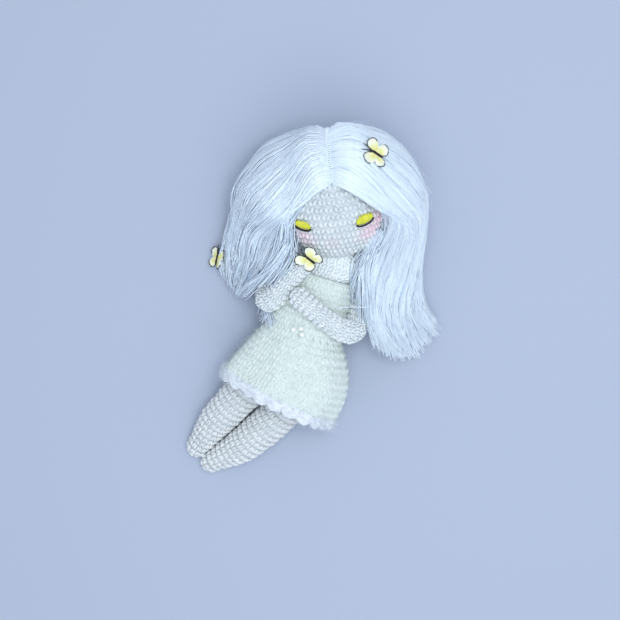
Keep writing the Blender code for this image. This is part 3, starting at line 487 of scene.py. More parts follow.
def add_skin(name, rings, material):
    """A closed body through a stack of rings."""
    count, sides, _ = rings.shape
    points = np.concatenate([rings.reshape(-1, 3), rings[0].mean(0)[None], rings[-1].mean(0)[None]])
    first, last, top = count * sides, count * sides + 1, (count - 1) * sides
    faces = grid_faces(count, sides)
    for c in range(sides):
        faces += [(first, (c + 1) % sides, c), (last, top + c, top + (c + 1) % sides)]
    return add_mesh(name, above(points, SKIN_FLOOR), faces, material=material)


def add_cloth(name, outer, inner, material):
    """A thin closed band between two stacks of rings."""
    points = np.concatenate([outer.reshape(-1, 3), inner.reshape(-1, 3)])
    return add_mesh(name, above(points, SKIN_FLOOR), plate_faces(*outer.shape[:2], wrap=True), material=material)


print("a closed plate of 3 by 3 points has", len(plate_faces(3, 3)), "faces")

# %% [markdown]
# ## One way to add a node
#
# Nodes shape the stitches and threads and colour every surface. One method adds them all: it takes a node's
# type, its settings, and the values or links of its sockets. It returns the node's output in a small wrapper,
# so that sums are written as plain Python and each sign adds its own Math node.


# %% Nodes and sums
class Output:
    """The output of a node, which plain Python signs can combine with numbers and other outputs."""

    def __init__(self, nodes, socket):
        self.nodes, self.socket = nodes, socket

    def __add__(self, other):
        return self.nodes.sum("ADD", self, other)

    def __sub__(self, other):
        return self.nodes.sum("SUBTRACT", self, other)

    def __mul__(self, other):
        return self.nodes.sum("MULTIPLY", self, other)

    def __truediv__(self, other):
        return self.nodes.sum("DIVIDE", self, other)

    def __pow__(self, other):
        return self.nodes.sum("POWER", self, other)

    def __rsub__(self, other):
        return self.nodes.sum("SUBTRACT", other, self)

    def __rtruediv__(self, other):
        return self.nodes.sum("DIVIDE", other, self)

    def __rpow__(self, other):
        return self.nodes.sum("POWER", other, self)

    __radd__, __rmul__ = __add__, __mul__

    def sin(self):
        return self.nodes.sum("SINE", self)

    def clamp(self):
        return self.nodes.sum("MINIMUM", self.nodes.sum("MAXIMUM", self, 0.0), 1.0)


class Nodes:
    """A node tree, and the one way in which nodes are added to it."""

    def __init__(self, tree):
        self.tree = tree

    def put(self, socket, value):
        """Give a socket its value or its link."""
        if isinstance(value, Output):
            self.tree.links.new(value.socket, socket)
        else:
            socket.default_value = value

    def add(self, kind, settings, sockets, output=0):
        """A node by its type, its settings, and the values or links of its sockets."""
        node = self.tree.nodes.new(kind)
        for key, value in settings.items():
            setattr(node, key, value)
        for key, value in sockets.items():
            self.put(node.inputs[key], value)
        return Output(self, node.outputs[output]) if node.outputs else None

    def sum(self, operation, *values):
        """A Math node."""
        return self.add("ShaderNodeMath", {"operation": operation}, dict(enumerate(values)))


print("signs that an output takes:", sum(name.startswith("__") for name in vars(Output)) - 4)

# %% [markdown]
# ## Stitches and threads by nodes
#
# Thousands of stitches repeat one small shape, and thousands of threads are round lines. Each could be copied
# or bevelled by hand, but two Geometry Nodes trees do it for every piece. One puts a stitch on each point, and
# the other gives each line its thickness. A tree ends in real meshes with a material, and its result is then
# kept as a plain mesh.


# %% Two trees
def new_tree(name, **inputs):
    """An empty tree, and the outputs of its named inputs."""
    tree = bpy.data.node_groups.new(name, "GeometryNodeTree")
    for label, kind in (("Geometry", "Geometry"), *inputs.items()):
        tree.interface.new_socket(label, in_out="INPUT", socket_type=f"NodeSocket{kind}")
    tree.interface.new_socket("Geometry", in_out="OUTPUT", socket_type="NodeSocketGeometry")
    nodes = Nodes(tree)
    start = tree.nodes.new("NodeGroupInput")
    return nodes, {socket.name: Output(nodes, socket) for socket in start.outputs if socket.name}


def end_tree(nodes, shape, material):
    """The shape as real meshes with their material, which ends the tree."""
    real = nodes.add("GeometryNodeRealizeInstances", {}, {0: shape})
    painted = nodes.add("GeometryNodeSetMaterial", {}, {"Geometry": real, "Material": material})
    nodes.add("NodeGroupOutput", {}, {0: painted})
    return nodes.tree


def point_value(nodes, name, kind):
    """The number or vector that each point carries."""
    return nodes.add("GeometryNodeInputNamedAttribute", {"data_type": kind}, {"Name": name}, "Attribute")


def stitch_tree():
    """Puts a stitch on each point, turned and sized by the point's own numbers."""
    nodes, given = new_tree("stitches", Stitch="Object", Size="Float", Material="Material")
    stitch = nodes.add("GeometryNodeObjectInfo", {}, {"Object": given["Stitch"]}, "Geometry")
    turn = nodes.add("FunctionNodeEulerToRotation", {}, {0: point_value(nodes, "turn", "FLOAT_VECTOR")})
    own = point_value(nodes, "size", "FLOAT_VECTOR")
    size = nodes.add("ShaderNodeVectorMath", {"operation": "SCALE"}, {0: own, "Scale": given["Size"]})
    sockets = {"Points": given["Geometry"], "Instance": stitch, "Rotation": turn, "Scale": size}
    return end_tree(nodes, nodes.add("GeometryNodeInstanceOnPoints", {}, sockets), given["Material"])


def thread_tree():
    """Turns lines into round threads, each point with its own thickness."""
    nodes, given = new_tree("threads", Sides="Int", Thickness="Float", Material="Material")
    curve = nodes.add("GeometryNodeMeshToCurve", {}, {0: given["Geometry"]})
    radius = point_value(nodes, "thick", "FLOAT") * given["Thickness"]
    ring = nodes.add("GeometryNodeCurvePrimitiveCircle", {}, {"Resolution": given["Sides"], "Radius": 1.0})
    sockets = {"Curve": curve, "Profile Curve": ring, "Scale": radius, "Fill Caps": True}
    tube = nodes.add("GeometryNodeCurveToMesh", {}, sockets)
    return end_tree(nodes, tube, given["Material"])


STITCHES, THREADS = stitch_tree(), thread_tree()
print("two trees:", STITCHES.name, "and", THREADS.name)


# %% Growing a mesh
def grow(thing, tree, **inputs):
    """Runs a tree on an object and leaves a plain mesh of the result in its place."""
    step = thing.modifiers.new("grow", "NODES")
    step.node_group = tree
    sockets = {s.name: s.identifier for s in tree.interface.items_tree if s.in_out == "INPUT"}
    for key, value in inputs.items():
        step[sockets[key]] = value
    graph = bpy.context.evaluated_depsgraph_get()
    mesh = bpy.data.meshes.new_from_object(thing.evaluated_get(graph))
    thing.modifiers.remove(step)
    old, thing.data = thing.data, mesh
    bpy.data.meshes.remove(old)
    points = np.empty(len(mesh.vertices) * 3, np.float32)
    mesh.vertices.foreach_get("co", points)
    mesh.vertices.foreach_set("co", above(points.reshape(-1, 3), THREAD_FLOOR).astype(np.float32).ravel())
    mesh.shade_smooth()
    mesh.update()
    return thing


def add_threads(name, lines, thick, material, sides=3, tints=None):
    """Round threads along lines: an array of thread, point, coordinate. Thick is a number for each point."""
    lines = np.asarray(lines, float)
    count, length, _ = lines.shape
    index = np.arange(count * length).reshape(count, length)
    edges = np.stack([index[:, :-1].ravel(), index[:, 1:].ravel()], axis=1).tolist()
    tints = RNG.random(count) if tints is None else np.asarray(tints)
    values = {"thick": np.broadcast_to(thick, (count, length)).ravel(), "tint": np.repeat(tints, length)}
    thing = add_mesh(name, lines.reshape(-1, 3), edges=edges, values=values)
    return grow(thing, THREADS, Sides=sides, Thickness=1.0, Material=material)


def join(name, *things):
    """Several meshes as one object."""
    bpy.context.view_layer.update()
    chosen = {"selected_objects": things, "selected_editable_objects": things}
    with bpy.context.temp_override(active_object=things[0], object=things[0], **chosen):
        bpy.ops.object.join()
    things[0].name = name
    return things[0]


def settle(piece, body, *nodes):
    """A finished piece stands for its solids and moves with its body. A piece on the hair is baked where it lies and
    follows no body.
    """
    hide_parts(*nodes)
    if body == "hair":
        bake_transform(piece)
    else:
        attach(piece, body)
    return piece


# %% [markdown]
# ## Cotton, wool and silky thread
#
# The doll's skin is shiny cotton, its dress matte wool, and its hair a cool white silky thread. A picture
# could colour them, but noise and each stitch's own number vary the yarn just as well and follow every
# shape. The blush is chalk on the cheeks, so it is a soft spot of pink at a place on the face.


# %% Paint
class Paint(Nodes):
    """One Principled material, and short ways to feed it."""

    def __init__(self, name, colour, roughness, **constants):
        self.material = bpy.data.materials.new(name)
        self.material.use_nodes = True
        super().__init__(self.material.node_tree)
        self.feed(Base_Color=(*colour, 1), Roughness=roughness, **constants)

    def feed(self, **sockets):
        """Sets or links the shader's own sockets, and gives the finished material."""
        shader = self.tree.nodes["Principled BSDF"]
        for key, value in sockets.items():
            self.put(shader.inputs[key.replace("_", " ")], value)
        return self.material

    def number(self, name):
        """A number that the points carry."""
        return self.add("ShaderNodeAttribute", {"attribute_name": name}, {}, "Fac")

    def place(self):
        return self.add("ShaderNodeTexCoord", {}, {}, "Object")

    def noise(self, scale, detail=2.0):
        sockets = {"Scale": scale, "Detail": detail, "Vector": self.place()}
        return self.add("ShaderNodeTexNoise", {}, sockets, "Fac")

    def near(self, centre, radius, fade=1.4):
        """1 at a place and 0 from a distance outward."""
        sockets = {0: self.place(), 1: centre}
        away = self.add("ShaderNodeVectorMath", {"operation": "DISTANCE"}, sockets, "Value")
        return (1.0 - (away / radius).clamp()) ** fade

    def mix(self, share, one, two):
        """From one colour to another, as an output grows from 0 to 1."""
        one, two = (c if isinstance(c, Output) else (*c, 1) for c in (one, two))
        return self.add("ShaderNodeMix", {"data_type": "RGBA"}, {0: share, 6: one, 7: two}, 2)

    def bump(self, height, distance, strength):
        """Small relief for light alone."""
        sockets = {"Distance": distance, "Strength": strength, "Height": height}
        return self.add("ShaderNodeBump", {}, sockets, "Normal")


def cotton(name, shade, light, blush=(), gloss=1.0, rough=0.22):
    """Cotton with a soft shine and twisted plies."""
    shine = {"Specular_IOR_Level": 0.55 * gloss, "Coat_Weight": 0.22 * gloss, "Coat_Roughness": 0.25}
    paint = Paint(name, light, rough, **shine)
    depth = (paint.noise(900.0) * 0.7 + paint.number("tint") * 0.5 - 0.2).clamp()
    colour = paint.mix(depth, shade, light)
    for centre, radius, strength in blush:
        colour = paint.mix(paint.near(centre, radius) * strength, colour, (0.93, 0.58, 0.67))
    plies = (paint.number("ply") * 38.0).sin() * 0.5 + 0.5
    relief = paint.bump(plies + paint.noise(6000.0) * 0.3, 0.00006, 0.7)
    return paint.feed(Base_Color=colour, Roughness=paint.noise(1500.0) * 0.25 + rough, Normal=relief)


def wool(name, light, shade):
    """Matte fuzzy wool."""
    paint = Paint(name, light, 0.95, Specular_IOR_Level=0.2, Sheen_Weight=0.4, Sheen_Roughness=0.6)
    depth = (paint.noise(700.0, 3.0) * 0.8 + paint.number("tint") * 0.4 - 0.1).clamp()
    relief = paint.bump(paint.noise(5000.0, 3.0), 0.00010, 0.8)
    return paint.feed(Base_Color=paint.mix(depth, shade, light), Normal=relief)


def thread(name, light, shade, rough, own=0.8, size=1200.0, share=0.3, **constants):
    """Thread whose strands differ a little, by their own numbers and by noise of a size."""
    paint = Paint(name, light, rough, **constants)
    depth = (paint.number("tint") * own + paint.noise(size) * share).clamp()
    return paint.feed(Base_Color=paint.mix(depth, shade, light))


print("one way to paint:", Paint.feed.__doc__)


# %% The materials
def spot_on_head(side, turn, low):
    """A point on the face, by its degrees beside the nose line and below the middle."""
    turn, low = math.radians(turn), math.radians(low)
    level = HEAD_LEFT * side * math.sin(turn) + HEAD_FORWARD * math.cos(turn)
    direction = level * math.cos(low) - HEAD_UP * math.sin(low)
    return HEAD + direction * skull_reach(direction)


BLUSH = (
    (spot_on_head(1, 58, 9), 0.0058, 0.85),
    (spot_on_head(1, 42, 23), 0.0060, 0.70),
    (spot_on_head(-1, 43, 23), 0.0058, 0.60),
    (spot_on_head(-1, 6, 32), 0.0034, 0.25),
)
HAIR_LOOK = {"own": 0.75, "size": 250.0, "share": 0.35, "Specular_IOR_Level": 0.5}
LEGS = cotton("leg_cotton", (0.66, 0.69, 0.70), (0.86, 0.87, 0.86))
ARMS = cotton("arm_cotton", (0.69, 0.74, 0.76), (0.89, 0.92, 0.92))
# The yoke is the same cotton as the arms in lighter tones: painted light that lifts the shade below the chin and hair.
YOKE_PAINTED_LIGHT = cotton("yoke_cotton", (0.78, 0.84, 0.86), (0.95, 0.97, 0.97))
FACE = cotton("face_cotton", (0.60, 0.65, 0.67), (0.80, 0.83, 0.83), BLUSH)
# The cores are the same cotton, matt and darker: painted shade in the gaps between the stitches.
PAINTED_SHADE_CORE = cotton("cotton_core", (0.61, 0.66, 0.68), (0.76, 0.80, 0.81), gloss=0.3, rough=0.65)
FACE_PAINTED_SHADE_CORE = cotton("face_core", (0.56, 0.61, 0.64), (0.69, 0.73, 0.75), BLUSH, gloss=0.3, rough=0.65)
DRESS = wool("dress_wool", (0.76, 0.82, 0.78), (0.65, 0.73, 0.69))
HEM = wool("hem_wool", (0.88, 0.91, 0.95), (0.74, 0.79, 0.86))
HAIR = thread("hair_thread", (0.85, 0.93, 1.0), (0.73, 0.85, 0.99), 0.42, **HAIR_LOOK)
# The layer beneath the threads is the hair thread in a darker, bluer copy: painted shade deep in the hair.
UNDER_PAINTED_SHADE = thread("under_hair", (0.77, 0.89, 1.0), (0.66, 0.80, 0.98), 0.42, **HAIR_LOOK)
YELLOW = thread("lid_satin", (0.80, 0.78, 0.06), (0.56, 0.58, 0.03), 0.40, Specular_IOR_Level=0.6)
BLACK = thread("black_thread", (0.012, 0.012, 0.014), (0.012, 0.012, 0.014), 0.5)
SEAM = thread("seam_thread", (0.87, 0.94, 1.0), (0.80, 0.89, 0.98), 0.6)
print("materials:", len(bpy.data.materials))

# %% [markdown]
# ## One crochet stitch
#
# Worked in the round, a single crochet shows as a small V: two plump legs that dive into the row below.
# Bump on a smooth surface would look flat from the side, so one V is modelled, with a number that runs along
# its yarn for the twist, and a copy stands on each point of the rows. It is one unit wide and one unit tall.


# %% The stitch
def add_stitch(name, plump=0.27, low=-0.52, high=0.48, wide=0.40, swell=0.26, root=0.09, sides=7, rows=6):
    """A V of two yarn legs like grains of rice, whose feet are near each other."""
    points, faces, ply = [], [], []
    for side in (-1, 1):
        first = len(points)
        for r in range(rows):
            t = r / (rows - 1)
            bow = math.pi * (0.10 + 0.80 * t)
            middle = Vector((side * (root + (wide - root) * t), low + (high - low) * t, swell * math.sin(bow) - 0.10))
            along = Vector((side * (wide - root), high - low, 2.5 * swell * math.cos(bow))).normalized()
            across = along.cross(UP).normalized()
            other = across.cross(along)
            reach = plump * math.sin(bow) ** 0.7
            for k in range(sides):
                turn = 2 * math.pi * k / sides
                points.append(middle + across * reach * 0.86 * math.cos(turn) + other * reach * math.sin(turn))
                ply.append(t * 0.9 + side * k / sides * 0.16)
        faces += [tuple(first + i for i in face) for face in grid_faces(rows, sides)]
        faces.append(tuple(first + k for k in reversed(range(sides))))
        faces.append(tuple(first + (rows - 1) * sides + k for k in range(sides)))
    stitch = add_mesh(name, points, faces, values={"ply": ply})
    stitch.hide_render = stitch.hide_viewport = True
    return stitch


YARN_V = add_stitch("yarn_v")
RIDGE_V = add_stitch("ridge_v", plump=0.25, low=-0.46, high=0.42, swell=0.38)
BEAD_V = add_stitch("bead_v", plump=0.29, low=-0.43, high=0.39, wide=0.37, swell=0.20)
GROOVE_V = add_stitch("groove_v", plump=0.28, low=-0.38, high=0.34, wide=0.36, swell=0.30)
SOFT_V = add_stitch("soft_v", plump=0.33, low=-0.46, high=0.44, wide=0.36)
print("one stitch:", len(YARN_V.data.polygons), "faces")

# %% [markdown]
# ## Rows of stitches
#
# A crocheter counts stitches into each round. Here the length of a ring gives their number, and each row
# starts a little further round than the last, as worked spirals do. Small random turns and sizes stand
# for the hand that made them.


# %% Rows of stitches
def closed(ring):
    """A ring whose first point comes again at its end, and the length up to each point."""
    line = np.concatenate([ring, ring[:1]])
    return line, np.concatenate([[0], np.cumsum(np.linalg.norm(np.diff(line, axis=0), axis=1))])


def rows_of_points(rings, width, pitch, drop, jitter=0.08, drift=0.37, skip=None, flat=1.0):
    """Stitch points along a ring stack, with the turn, size and own number of each copy."""
    travel = travel_along(rings)
    rows = max(2, round(travel[-1] / pitch))
    numbers = np.arange(len(rings))
    places, turns, sizes, tints = [], [], [], []
    for row in range(rows):
        distance = travel[-1] * (row + 0.5) / rows
        near = [np.clip(distance + pitch * step, 0, travel[-1]) for step in (-0.25, 0.25)]
        ring, after = (ring_at(rings, np.interp(spot, travel, numbers)) for spot in near)
        (line, lengths), (line_after, _) = closed(ring), closed(after)
        count = max(5, round(lengths[-1] / width))
        one = lengths[-1] / count
        for k in range(count):
            where = ((k + row * drift) % count) / count * lengths[-1]
            spots = (where, line), ((where + width * 0.3) % lengths[-1], line), (where, line_after)
            here, ahead, upper = (
                np.array([np.interp(spot, lengths, of[:, i]) for i in range(3)]) for spot, of in spots
            )
            if skip and skip(here):
                continue
            along, rise = Vector(ahead - here), Vector(upper - here)
            normal = along.cross(rise).normalized()
            if normal.dot(Vector(here - ring.mean(axis=0))) < 0:
                normal = -normal
            rise = (rise - normal * rise.dot(normal)).normalized()
            along = rise.cross(normal)
            wobble = Matrix.Rotation(RNG.normal(0, jitter), 3, normal)
            places.append(Vector(here) - normal * drop)
            turns.append(tuple((wobble @ Matrix((along, rise, normal)).transposed()).to_euler("XYZ")))
            thick = (one + pitch) / 2 * flat * RNG.normal(1, 0.08)
            sizes.append((one * RNG.normal(1, 0.05), pitch * RNG.normal(1, 0.04), thick))
            tints.append(RNG.random())
    return places, {"turn": turns, "size": sizes, "tint": tints}


def add_stitches(name, rings, width, pitch, stitch, material, drop=0.0004, **options):
    """Rows of stitches over a ring stack, as one plain mesh."""
    places, values = rows_of_points(rings, width, pitch, drop, **options)
    thing = add_mesh(name, places, values=values)
    grow(thing, STITCHES, Stitch=stitch, Size=1.0, Material=material)
    print(name, "stitches:", len(places), "faces:", len(thing.data.polygons))
    return thing


print("length round the hem:", round(closed(SKIRT[-1])[1][-1] * 1000, 1), "mm")

# %% [markdown]
# ## Head, torso and limbs
#
# Each stuffed piece is crocheted as a tube or a ball and filled with fibre. Rows of V stitches cover a
# ridged matt core just inside the solid, which closes the small gaps between them. The core is a darker copy
# of the cotton, painted shade for the gaps between the stitches; a bare glossy core would look like plastic
# there. The rows of the head run round its own axis, and the torso only needs stitches where the dress
# leaves it bare.


# %% Stuffed cotton pieces
def add_stuffed(node, rings, grain, stitch, material, fill, core=PAINTED_SHADE_CORE, inset=0.0002, ridge=0.0, **options):
    """A stuffed crochet piece: its core and its stitches as one mesh. Grain is a stitch's width and height."""
    name = f"{node}_cotton"
    skin = add_skin(name, shrunk(ridged(rings, grain[1], ridge), inset), core)
    piece = join(name, skin, add_stitches(f"{name}_rows", rings, *grain, stitch, material, **options))
    settle(piece, node, node)


def under_the_dress(point):
    return WAIST.y - 0.004 < point[1] < WAIST.y + WAIST_TO_BUST - 0.003


add_stuffed("head", head_rings(), (0.0028, 0.0022), BEAD_V, FACE, 0.9, FACE_PAINTED_SHADE_CORE, 0.00022, 0.00010)
add_stuffed("torso", torso_rings(), (0.0021, 0.0018), YARN_V, YOKE_PAINTED_LIGHT, 0.9, skip=under_the_dress)
for side, label in SIDES:
    add_stuffed(f"{label}_arm", arm_rings(side), (0.0018, 0.0018), RIDGE_V, ARMS, 0.85, ridge=0.00012)
for side, label in SIDES:
    add_stuffed(f"{label}_leg", leg_rings(side), (0.0019, 0.0021), GROOVE_V, LEGS, 0.9, ridge=0.0003)

# %% [markdown]
# ## Dress
#
# The bodice and the skirt are worked in fuzzy wool over the stuffed torso. Each is a thin closed cloth with
# larger, flatter and less even stitches than the cotton, and with loose fibres that blur them. Cloth could
# be draped by a simulation, but a crocheted skirt is stiff enough to keep the shape of its rings.


# %% Wool fibres and cloth
def fibre(start, way, curl, length):
    """A short loose fibre that leaves a place and curls."""
    t = np.linspace(0, 1, 4)[:, None]
    bend = RNG.normal(0, curl, 3)
    return start + (way / np.linalg.norm(way) * t + bend * t**2) * (length * RNG.uniform(0.4, 1.2))


def add_fuzz(name, rings, count, material):
    """Fibres that stand on a ring stack in all ways."""
    out = rings - rings.mean(axis=1, keepdims=True)
    out /= np.linalg.norm(out, axis=2, keepdims=True)
    lines = []
    for _ in range(count):
        r, c = RNG.integers(0, len(rings)), RNG.integers(0, len(rings[0]))
        shift = RNG.normal(0, 0.0004, 3)
        start = rings[r, c] + shift - out[r, c] * (0.0002 + shift @ out[r, c])
        lines.append(fibre(start, out[r, c] + RNG.normal(0, 1.1, 3), 0.7, 0.0008))
    return add_threads(name, lines, 0.000026, material)


def add_dress_part(name, node, rings, fibres):
    """Cloth with its stitches and its fuzz, which ride with the torso."""
    cloth = settle(add_cloth(name, shrunk(rings, 0.00008), shrunk(rings, 0.00090), DRESS), "torso", node)
    rows = add_stitches(f"{name}_rows", rings, 0.0024, 0.0021, SOFT_V, DRESS, jitter=0.16, flat=0.62)
    fuzz = add_fuzz(f"{name}_fuzz", rings, fibres, DRESS)
    for piece in (rows, fuzz):
        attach(piece, "torso")
    round_it = [float(closed(ring)[1][-1]) for ring in rings]
    wide, tall = max(round_it), float(travel_along(rings)[-1])
    area = min(sum(round_it) / len(rings) * tall, wide * tall)
    print(name, "flat:", round(wide * 1000, 1), "by", round(tall * 1000, 1), "mm")


add_dress_part("bodice_wool", "dress_bodice", BODICE, 4500)
add_dress_part("skirt_wool", "dress_skirt", SKIRT, 9500)

# %% [markdown]
# ## Edging below the hem
#
# The hem ends in a white fluffy edging of chain loops that hang in scallops. Single chain stitches would be
# lost in the fluff, so nine rippled rings of yarn lie one below the other, each following the scallops
# more than the last, and thousands of fibres stand on them.

# %% Hem edging
SCALLOPS, YARN_RINGS, HEM_POINTS = 20, 9, 400
LAST_RING = shrunk(SKIRT, 0.0007)[-1]
HEM_LINE = smooth_path([*LAST_RING, LAST_RING[0]], HEM_POINTS + 1)[:-1]
HEM_OUT = (HEM_LINE - HEM_LINE.mean(axis=0)) * (1, 0, 1)
HEM_OUT /= np.linalg.norm(HEM_OUT, axis=1, keepdims=True)
scallop = np.abs(np.cos(np.pi * SCALLOPS * np.arange(HEM_POINTS) / HEM_POINTS))[:, None]
loops = []
for share in np.linspace(0, 1, YARN_RINGS):
    fall = 0.0004 - share * (0.0020 + 0.0012 * scallop)
    stand = 0.0008 * math.sin(math.pi * (0.18 + 0.7 * share)) - 0.0002
    ripple = RNG.normal(0, 1, (HEM_POINTS, 3))
    ripple = sum(np.roll(ripple, k, axis=0) for k in range(5)) / 5 * 0.00022
    line = HEM_LINE + np.array([0, 1, 0]) * fall + HEM_OUT * stand + ripple
    loops.append(np.concatenate([line, line[:1]]))
settle(add_threads("hem_yarn", loops, 0.00042, HEM, sides=7), "torso", "hem_trim")
fluff = []
for _ in range(8000):
    k, layer = RNG.integers(0, HEM_POINTS), RNG.integers(0, YARN_RINGS)
    start = loops[layer][k] + RNG.normal(0, 0.0003, 3)
    way = HEM_OUT[k] * RNG.uniform(0, 1) + np.array([0, -0.1, 0]) + RNG.normal(0, 0.8, 3)
    fluff.append(fibre(start, way, 0.9, 0.0008))
settle(add_threads("hem_fluff", fluff, 0.00003, HEM), "torso", "hem_trim")
print("fibres on the edging:", len(fluff))

# %% [markdown]
# ## Pearls
#
# Three small beads are sewn on at the waist. Each is a ball of rings with a clear coat over a slightly
# uneven white. Its place comes from the dress, so that it stays seated when the dress changes.

# %% Pearls at the waist
PEARL_RADIUS = 0.00075
PEARL_SEAT = 0.0004
PEARLS = ((105, 0.0012), (96, 0.0022), (92, 0.0006))
nacre = Paint("pearl", (0.92, 0.93, 0.90), 0.10, Coat_Weight=1.0, Coat_Roughness=0.03)
PEARL = nacre.feed(Base_Color=nacre.mix(nacre.noise(900.0), (0.95, 0.92, 0.87), (0.86, 0.93, 0.93)))
turn = np.linspace(0.04, math.pi - 0.04, 14)
around = np.linspace(0, 2 * math.pi, 24, endpoint=False)
across = [np.outer(np.sin(turn), wave(around)) for wave in (np.cos, np.sin)]
BALL = PEARL_RADIUS * np.stack([*across, np.outer(-np.cos(turn), np.ones(24))], axis=2)
for number, (degrees, height) in enumerate(PEARLS, 1):
    seat = round_the_body(degrees, height, CLEARANCE + PEARL_RADIUS + PEARL_SEAT)
    settle(add_skin(f"pearl_{number}", np.array(seat) + BALL, PEARL), "torso", f"waist_pearl_{number}")
print("pearls:", len(PEARLS))

# %% [markdown]
# ## Eyes
#
# Each closed lid is satin stitch: short parallel threads side by side, raised by padding in the middle. A
# thick black thread lies under it as the lash line. A painted patch would have no shine along the threads,
# so every thread is laid over the round face on its own.

# %% Lids and lashes
LID_LOW = math.radians(7)
LID_WIDTH, LID_HEIGHT = 0.0052, 0.0024
LID_SAG = 0.38 * LID_HEIGHT
LID_PLACES = {1: (32, 10, 0.62), -1: (37, -9, 0.44)}
LASH_STRANDS = ((0.0, 0.00075), (-0.00022, 0.00062), (-0.00010, 0.00088))


def on_face(side, u, v, out):
    """A point on the face near one eye, from its place beside and above the middle of the lid."""
    turn, tilt = (math.radians(angle) for angle in LID_PLACES[side][:2])
    level = HEAD_LEFT * side * math.sin(turn) + HEAD_FORWARD * math.cos(turn)
    middle = level * math.cos(LID_LOW) - HEAD_UP * math.sin(LID_LOW)
    rise = (HEAD_UP - middle * HEAD_UP.dot(middle)).normalized()
    right, top = u * math.cos(tilt) - v * math.sin(tilt), u * math.sin(tilt) + v * math.cos(tilt)
    direction = (middle * skull_reach(middle) + rise.cross(middle) * right + rise * top).normalized()
    return np.array(HEAD + direction * (skull_reach(direction) + out))


def bow(share):
    """The height of a half circle over its width, from -1 to 1."""
    return math.sqrt(max(0.0, 1 - share**2))


for side, label in SIDES:
    satin, lash = [], []
    for u in np.linspace(-0.47, 0.47, 17) * LID_WIDTH:
        arch = bow(2 * u / LID_WIDTH)
        low = -LID_SAG * arch + RNG.normal(0, 0.00004)
        high = LID_HEIGHT * LID_PLACES[side][2] * arch + 0.00015 + RNG.normal(0, 0.00010)
        lean = RNG.normal(0, 0.00006)
        satin.append([
            on_face(side, u + lean * t, low + (high - low) * t, 0.00035 + 0.00052 * math.sin(math.pi * t) ** 0.6)
            for t in np.linspace(0, 1, 9)
        ])
    settle(add_threads(f"{label}_lid_satin", satin, 0.00021, YELLOW, sides=6), "head", f"{label}_eyelid")
    for lift, out in LASH_STRANDS:
        lash.append([
            on_face(side, LID_WIDTH * (t - 0.5) * 1.06, lift - CLEARANCE - LID_SAG * bow(2 * t - 1), out)
            for t in np.linspace(0, 1, 13)
        ])
    settle(add_threads(f"{label}_lash_thread", lash, 0.00019, BLACK, sides=6), "head", f"{label}_lash")
print("satin threads in a lid:", len(satin))

# %% [markdown]
# ## Hair
#
# On the real doll each thread is sewn at the parting and hangs freely. Thousands of separate lines show that
# better than a solid with a bump. A thread starts at the parting, runs over the head and leaves it in a lock.
# Its depth in the hair and its place from the face to the back decide the rest of its way. Threads share
# the wander of a clump, so the hair falls in wisps, and the cut ends curl outward.

# %% Hair sizes
HAIR_BESIDE_HEAD = 0.0130
HAIR_ABOVE_CROWN = 0.0072
HAIR_OVER_FACE = 0.0020
HAIR_CENTRE_BACK = 0.0036
HAIR_CENTRE_LOW = 0.0084
HAIR_CENTRE_SIDE = 0.0010
PART_THICKNESS = 0.0024
HAIRLINE = math.radians(34)
PART_END = math.radians(152)
LEFT_FACE_EDGE = math.radians(75)
RIGHT_FACE_EDGE = math.radians(57)
LOCK_TOP_EDGE = math.radians(120)
CROWN_DROP = math.radians(28)
RIGHT_FRONT_DROP = math.radians(8)
LOCK_SPREAD = 0.0300
LOCK_REACH = 0.0260
LOCK_HEIGHT = 0.0190
LOCK_THICKNESS = 0.0020
LEFT_LOCK_SHARES = (
    ((0.44, 1.18, 1.12), (0.80, 1.10, 0.80), (0.92, 1.12, 0.26)),
    ((0.45, 0.70, 1.10), (0.82, 0.62, 0.66), (1.03, 0.66, 0.18)),
    ((0.68, 0.08, 0.86), (1.02, 0.02, 0.36), (1.22, 0.38, 0.15)),
)
RIGHT_LOCK_SHARES = (
    ((-0.46, 0.98, 1.32), (-0.88, 0.92, 1.00), (-1.07, 0.92, 0.34)),
    ((-0.50, 0.64, 1.20), (-0.86, 0.54, 0.62), (-1.06, 0.54, 0.20)),
    ((-0.74, 0.15, 0.34), (-0.84, 0.14, 0.22), (-0.99, 0.24, 0.16)),
)
BACK_LOCK_TIP_WIDTH = 0.0256
BACK_LOCK_THICKNESS = 0.0024
BACK_LOCK_TIP = 0.0028
print("the hair stands", HAIR_BESIDE_HEAD * 1000, "mm beside the head")


# %% Thread paths
LEFT_LOCK_LEAVES = 0.78
RIGHT_LOCK_LEAVES = 0.86
LOCK_FRONT_SHARE = 0.3
LOCK_LAST = {
    1: (LOCK_TOP_EDGE - LEFT_FACE_EDGE) / (math.pi - LEFT_FACE_EDGE),
    -1: (LOCK_TOP_EDGE - RIGHT_FACE_EDGE) / (math.pi - RIGHT_FACE_EDGE),
}
LOCK_STEPS = {
    1: (0, 0.05, 0.12, 0.22, 0.36, 0.52, 0.70, 0.88),
    -1: (0, 0.05, 0.12, 0.22, 0.34, 0.47, 0.61, 0.75),
}
BACK_STEPS = (0, 0.06, 0.16, 0.30, 0.48, 0.66, 0.84, 0.97)
SLIM = {1: 0.0002, -1: 0.0017}
VIEW_RIGHT = np.array([math.cos(math.radians(18)), math.sin(math.radians(18)), 0])


def hair_reach(direction):
    """How far the outside of the hair is from the head's centre along a unit direction."""
    deep = HEAD_DEPTH / 2 + HAIR_CENTRE_LOW + HAIR_OVER_FACE
    half = Vector((HEAD_WIDTH / 2 + HAIR_BESIDE_HEAD, CENTRE_TO_CROWN + HAIR_ABOVE_CROWN, deep))
    along = [d / h for d, h in zip(direction, half)]
    start = [m / h for m, h in zip((HAIR_CENTRE_SIDE, HAIR_CENTRE_BACK, HAIR_CENTRE_LOW), half)]
    a = sum(d * d for d in along)
    b = sum(d * s for d, s in zip(along, start))
    c = sum(s * s for s in start) - 1
    return (-b + math.sqrt(b * b - a * c)) / a


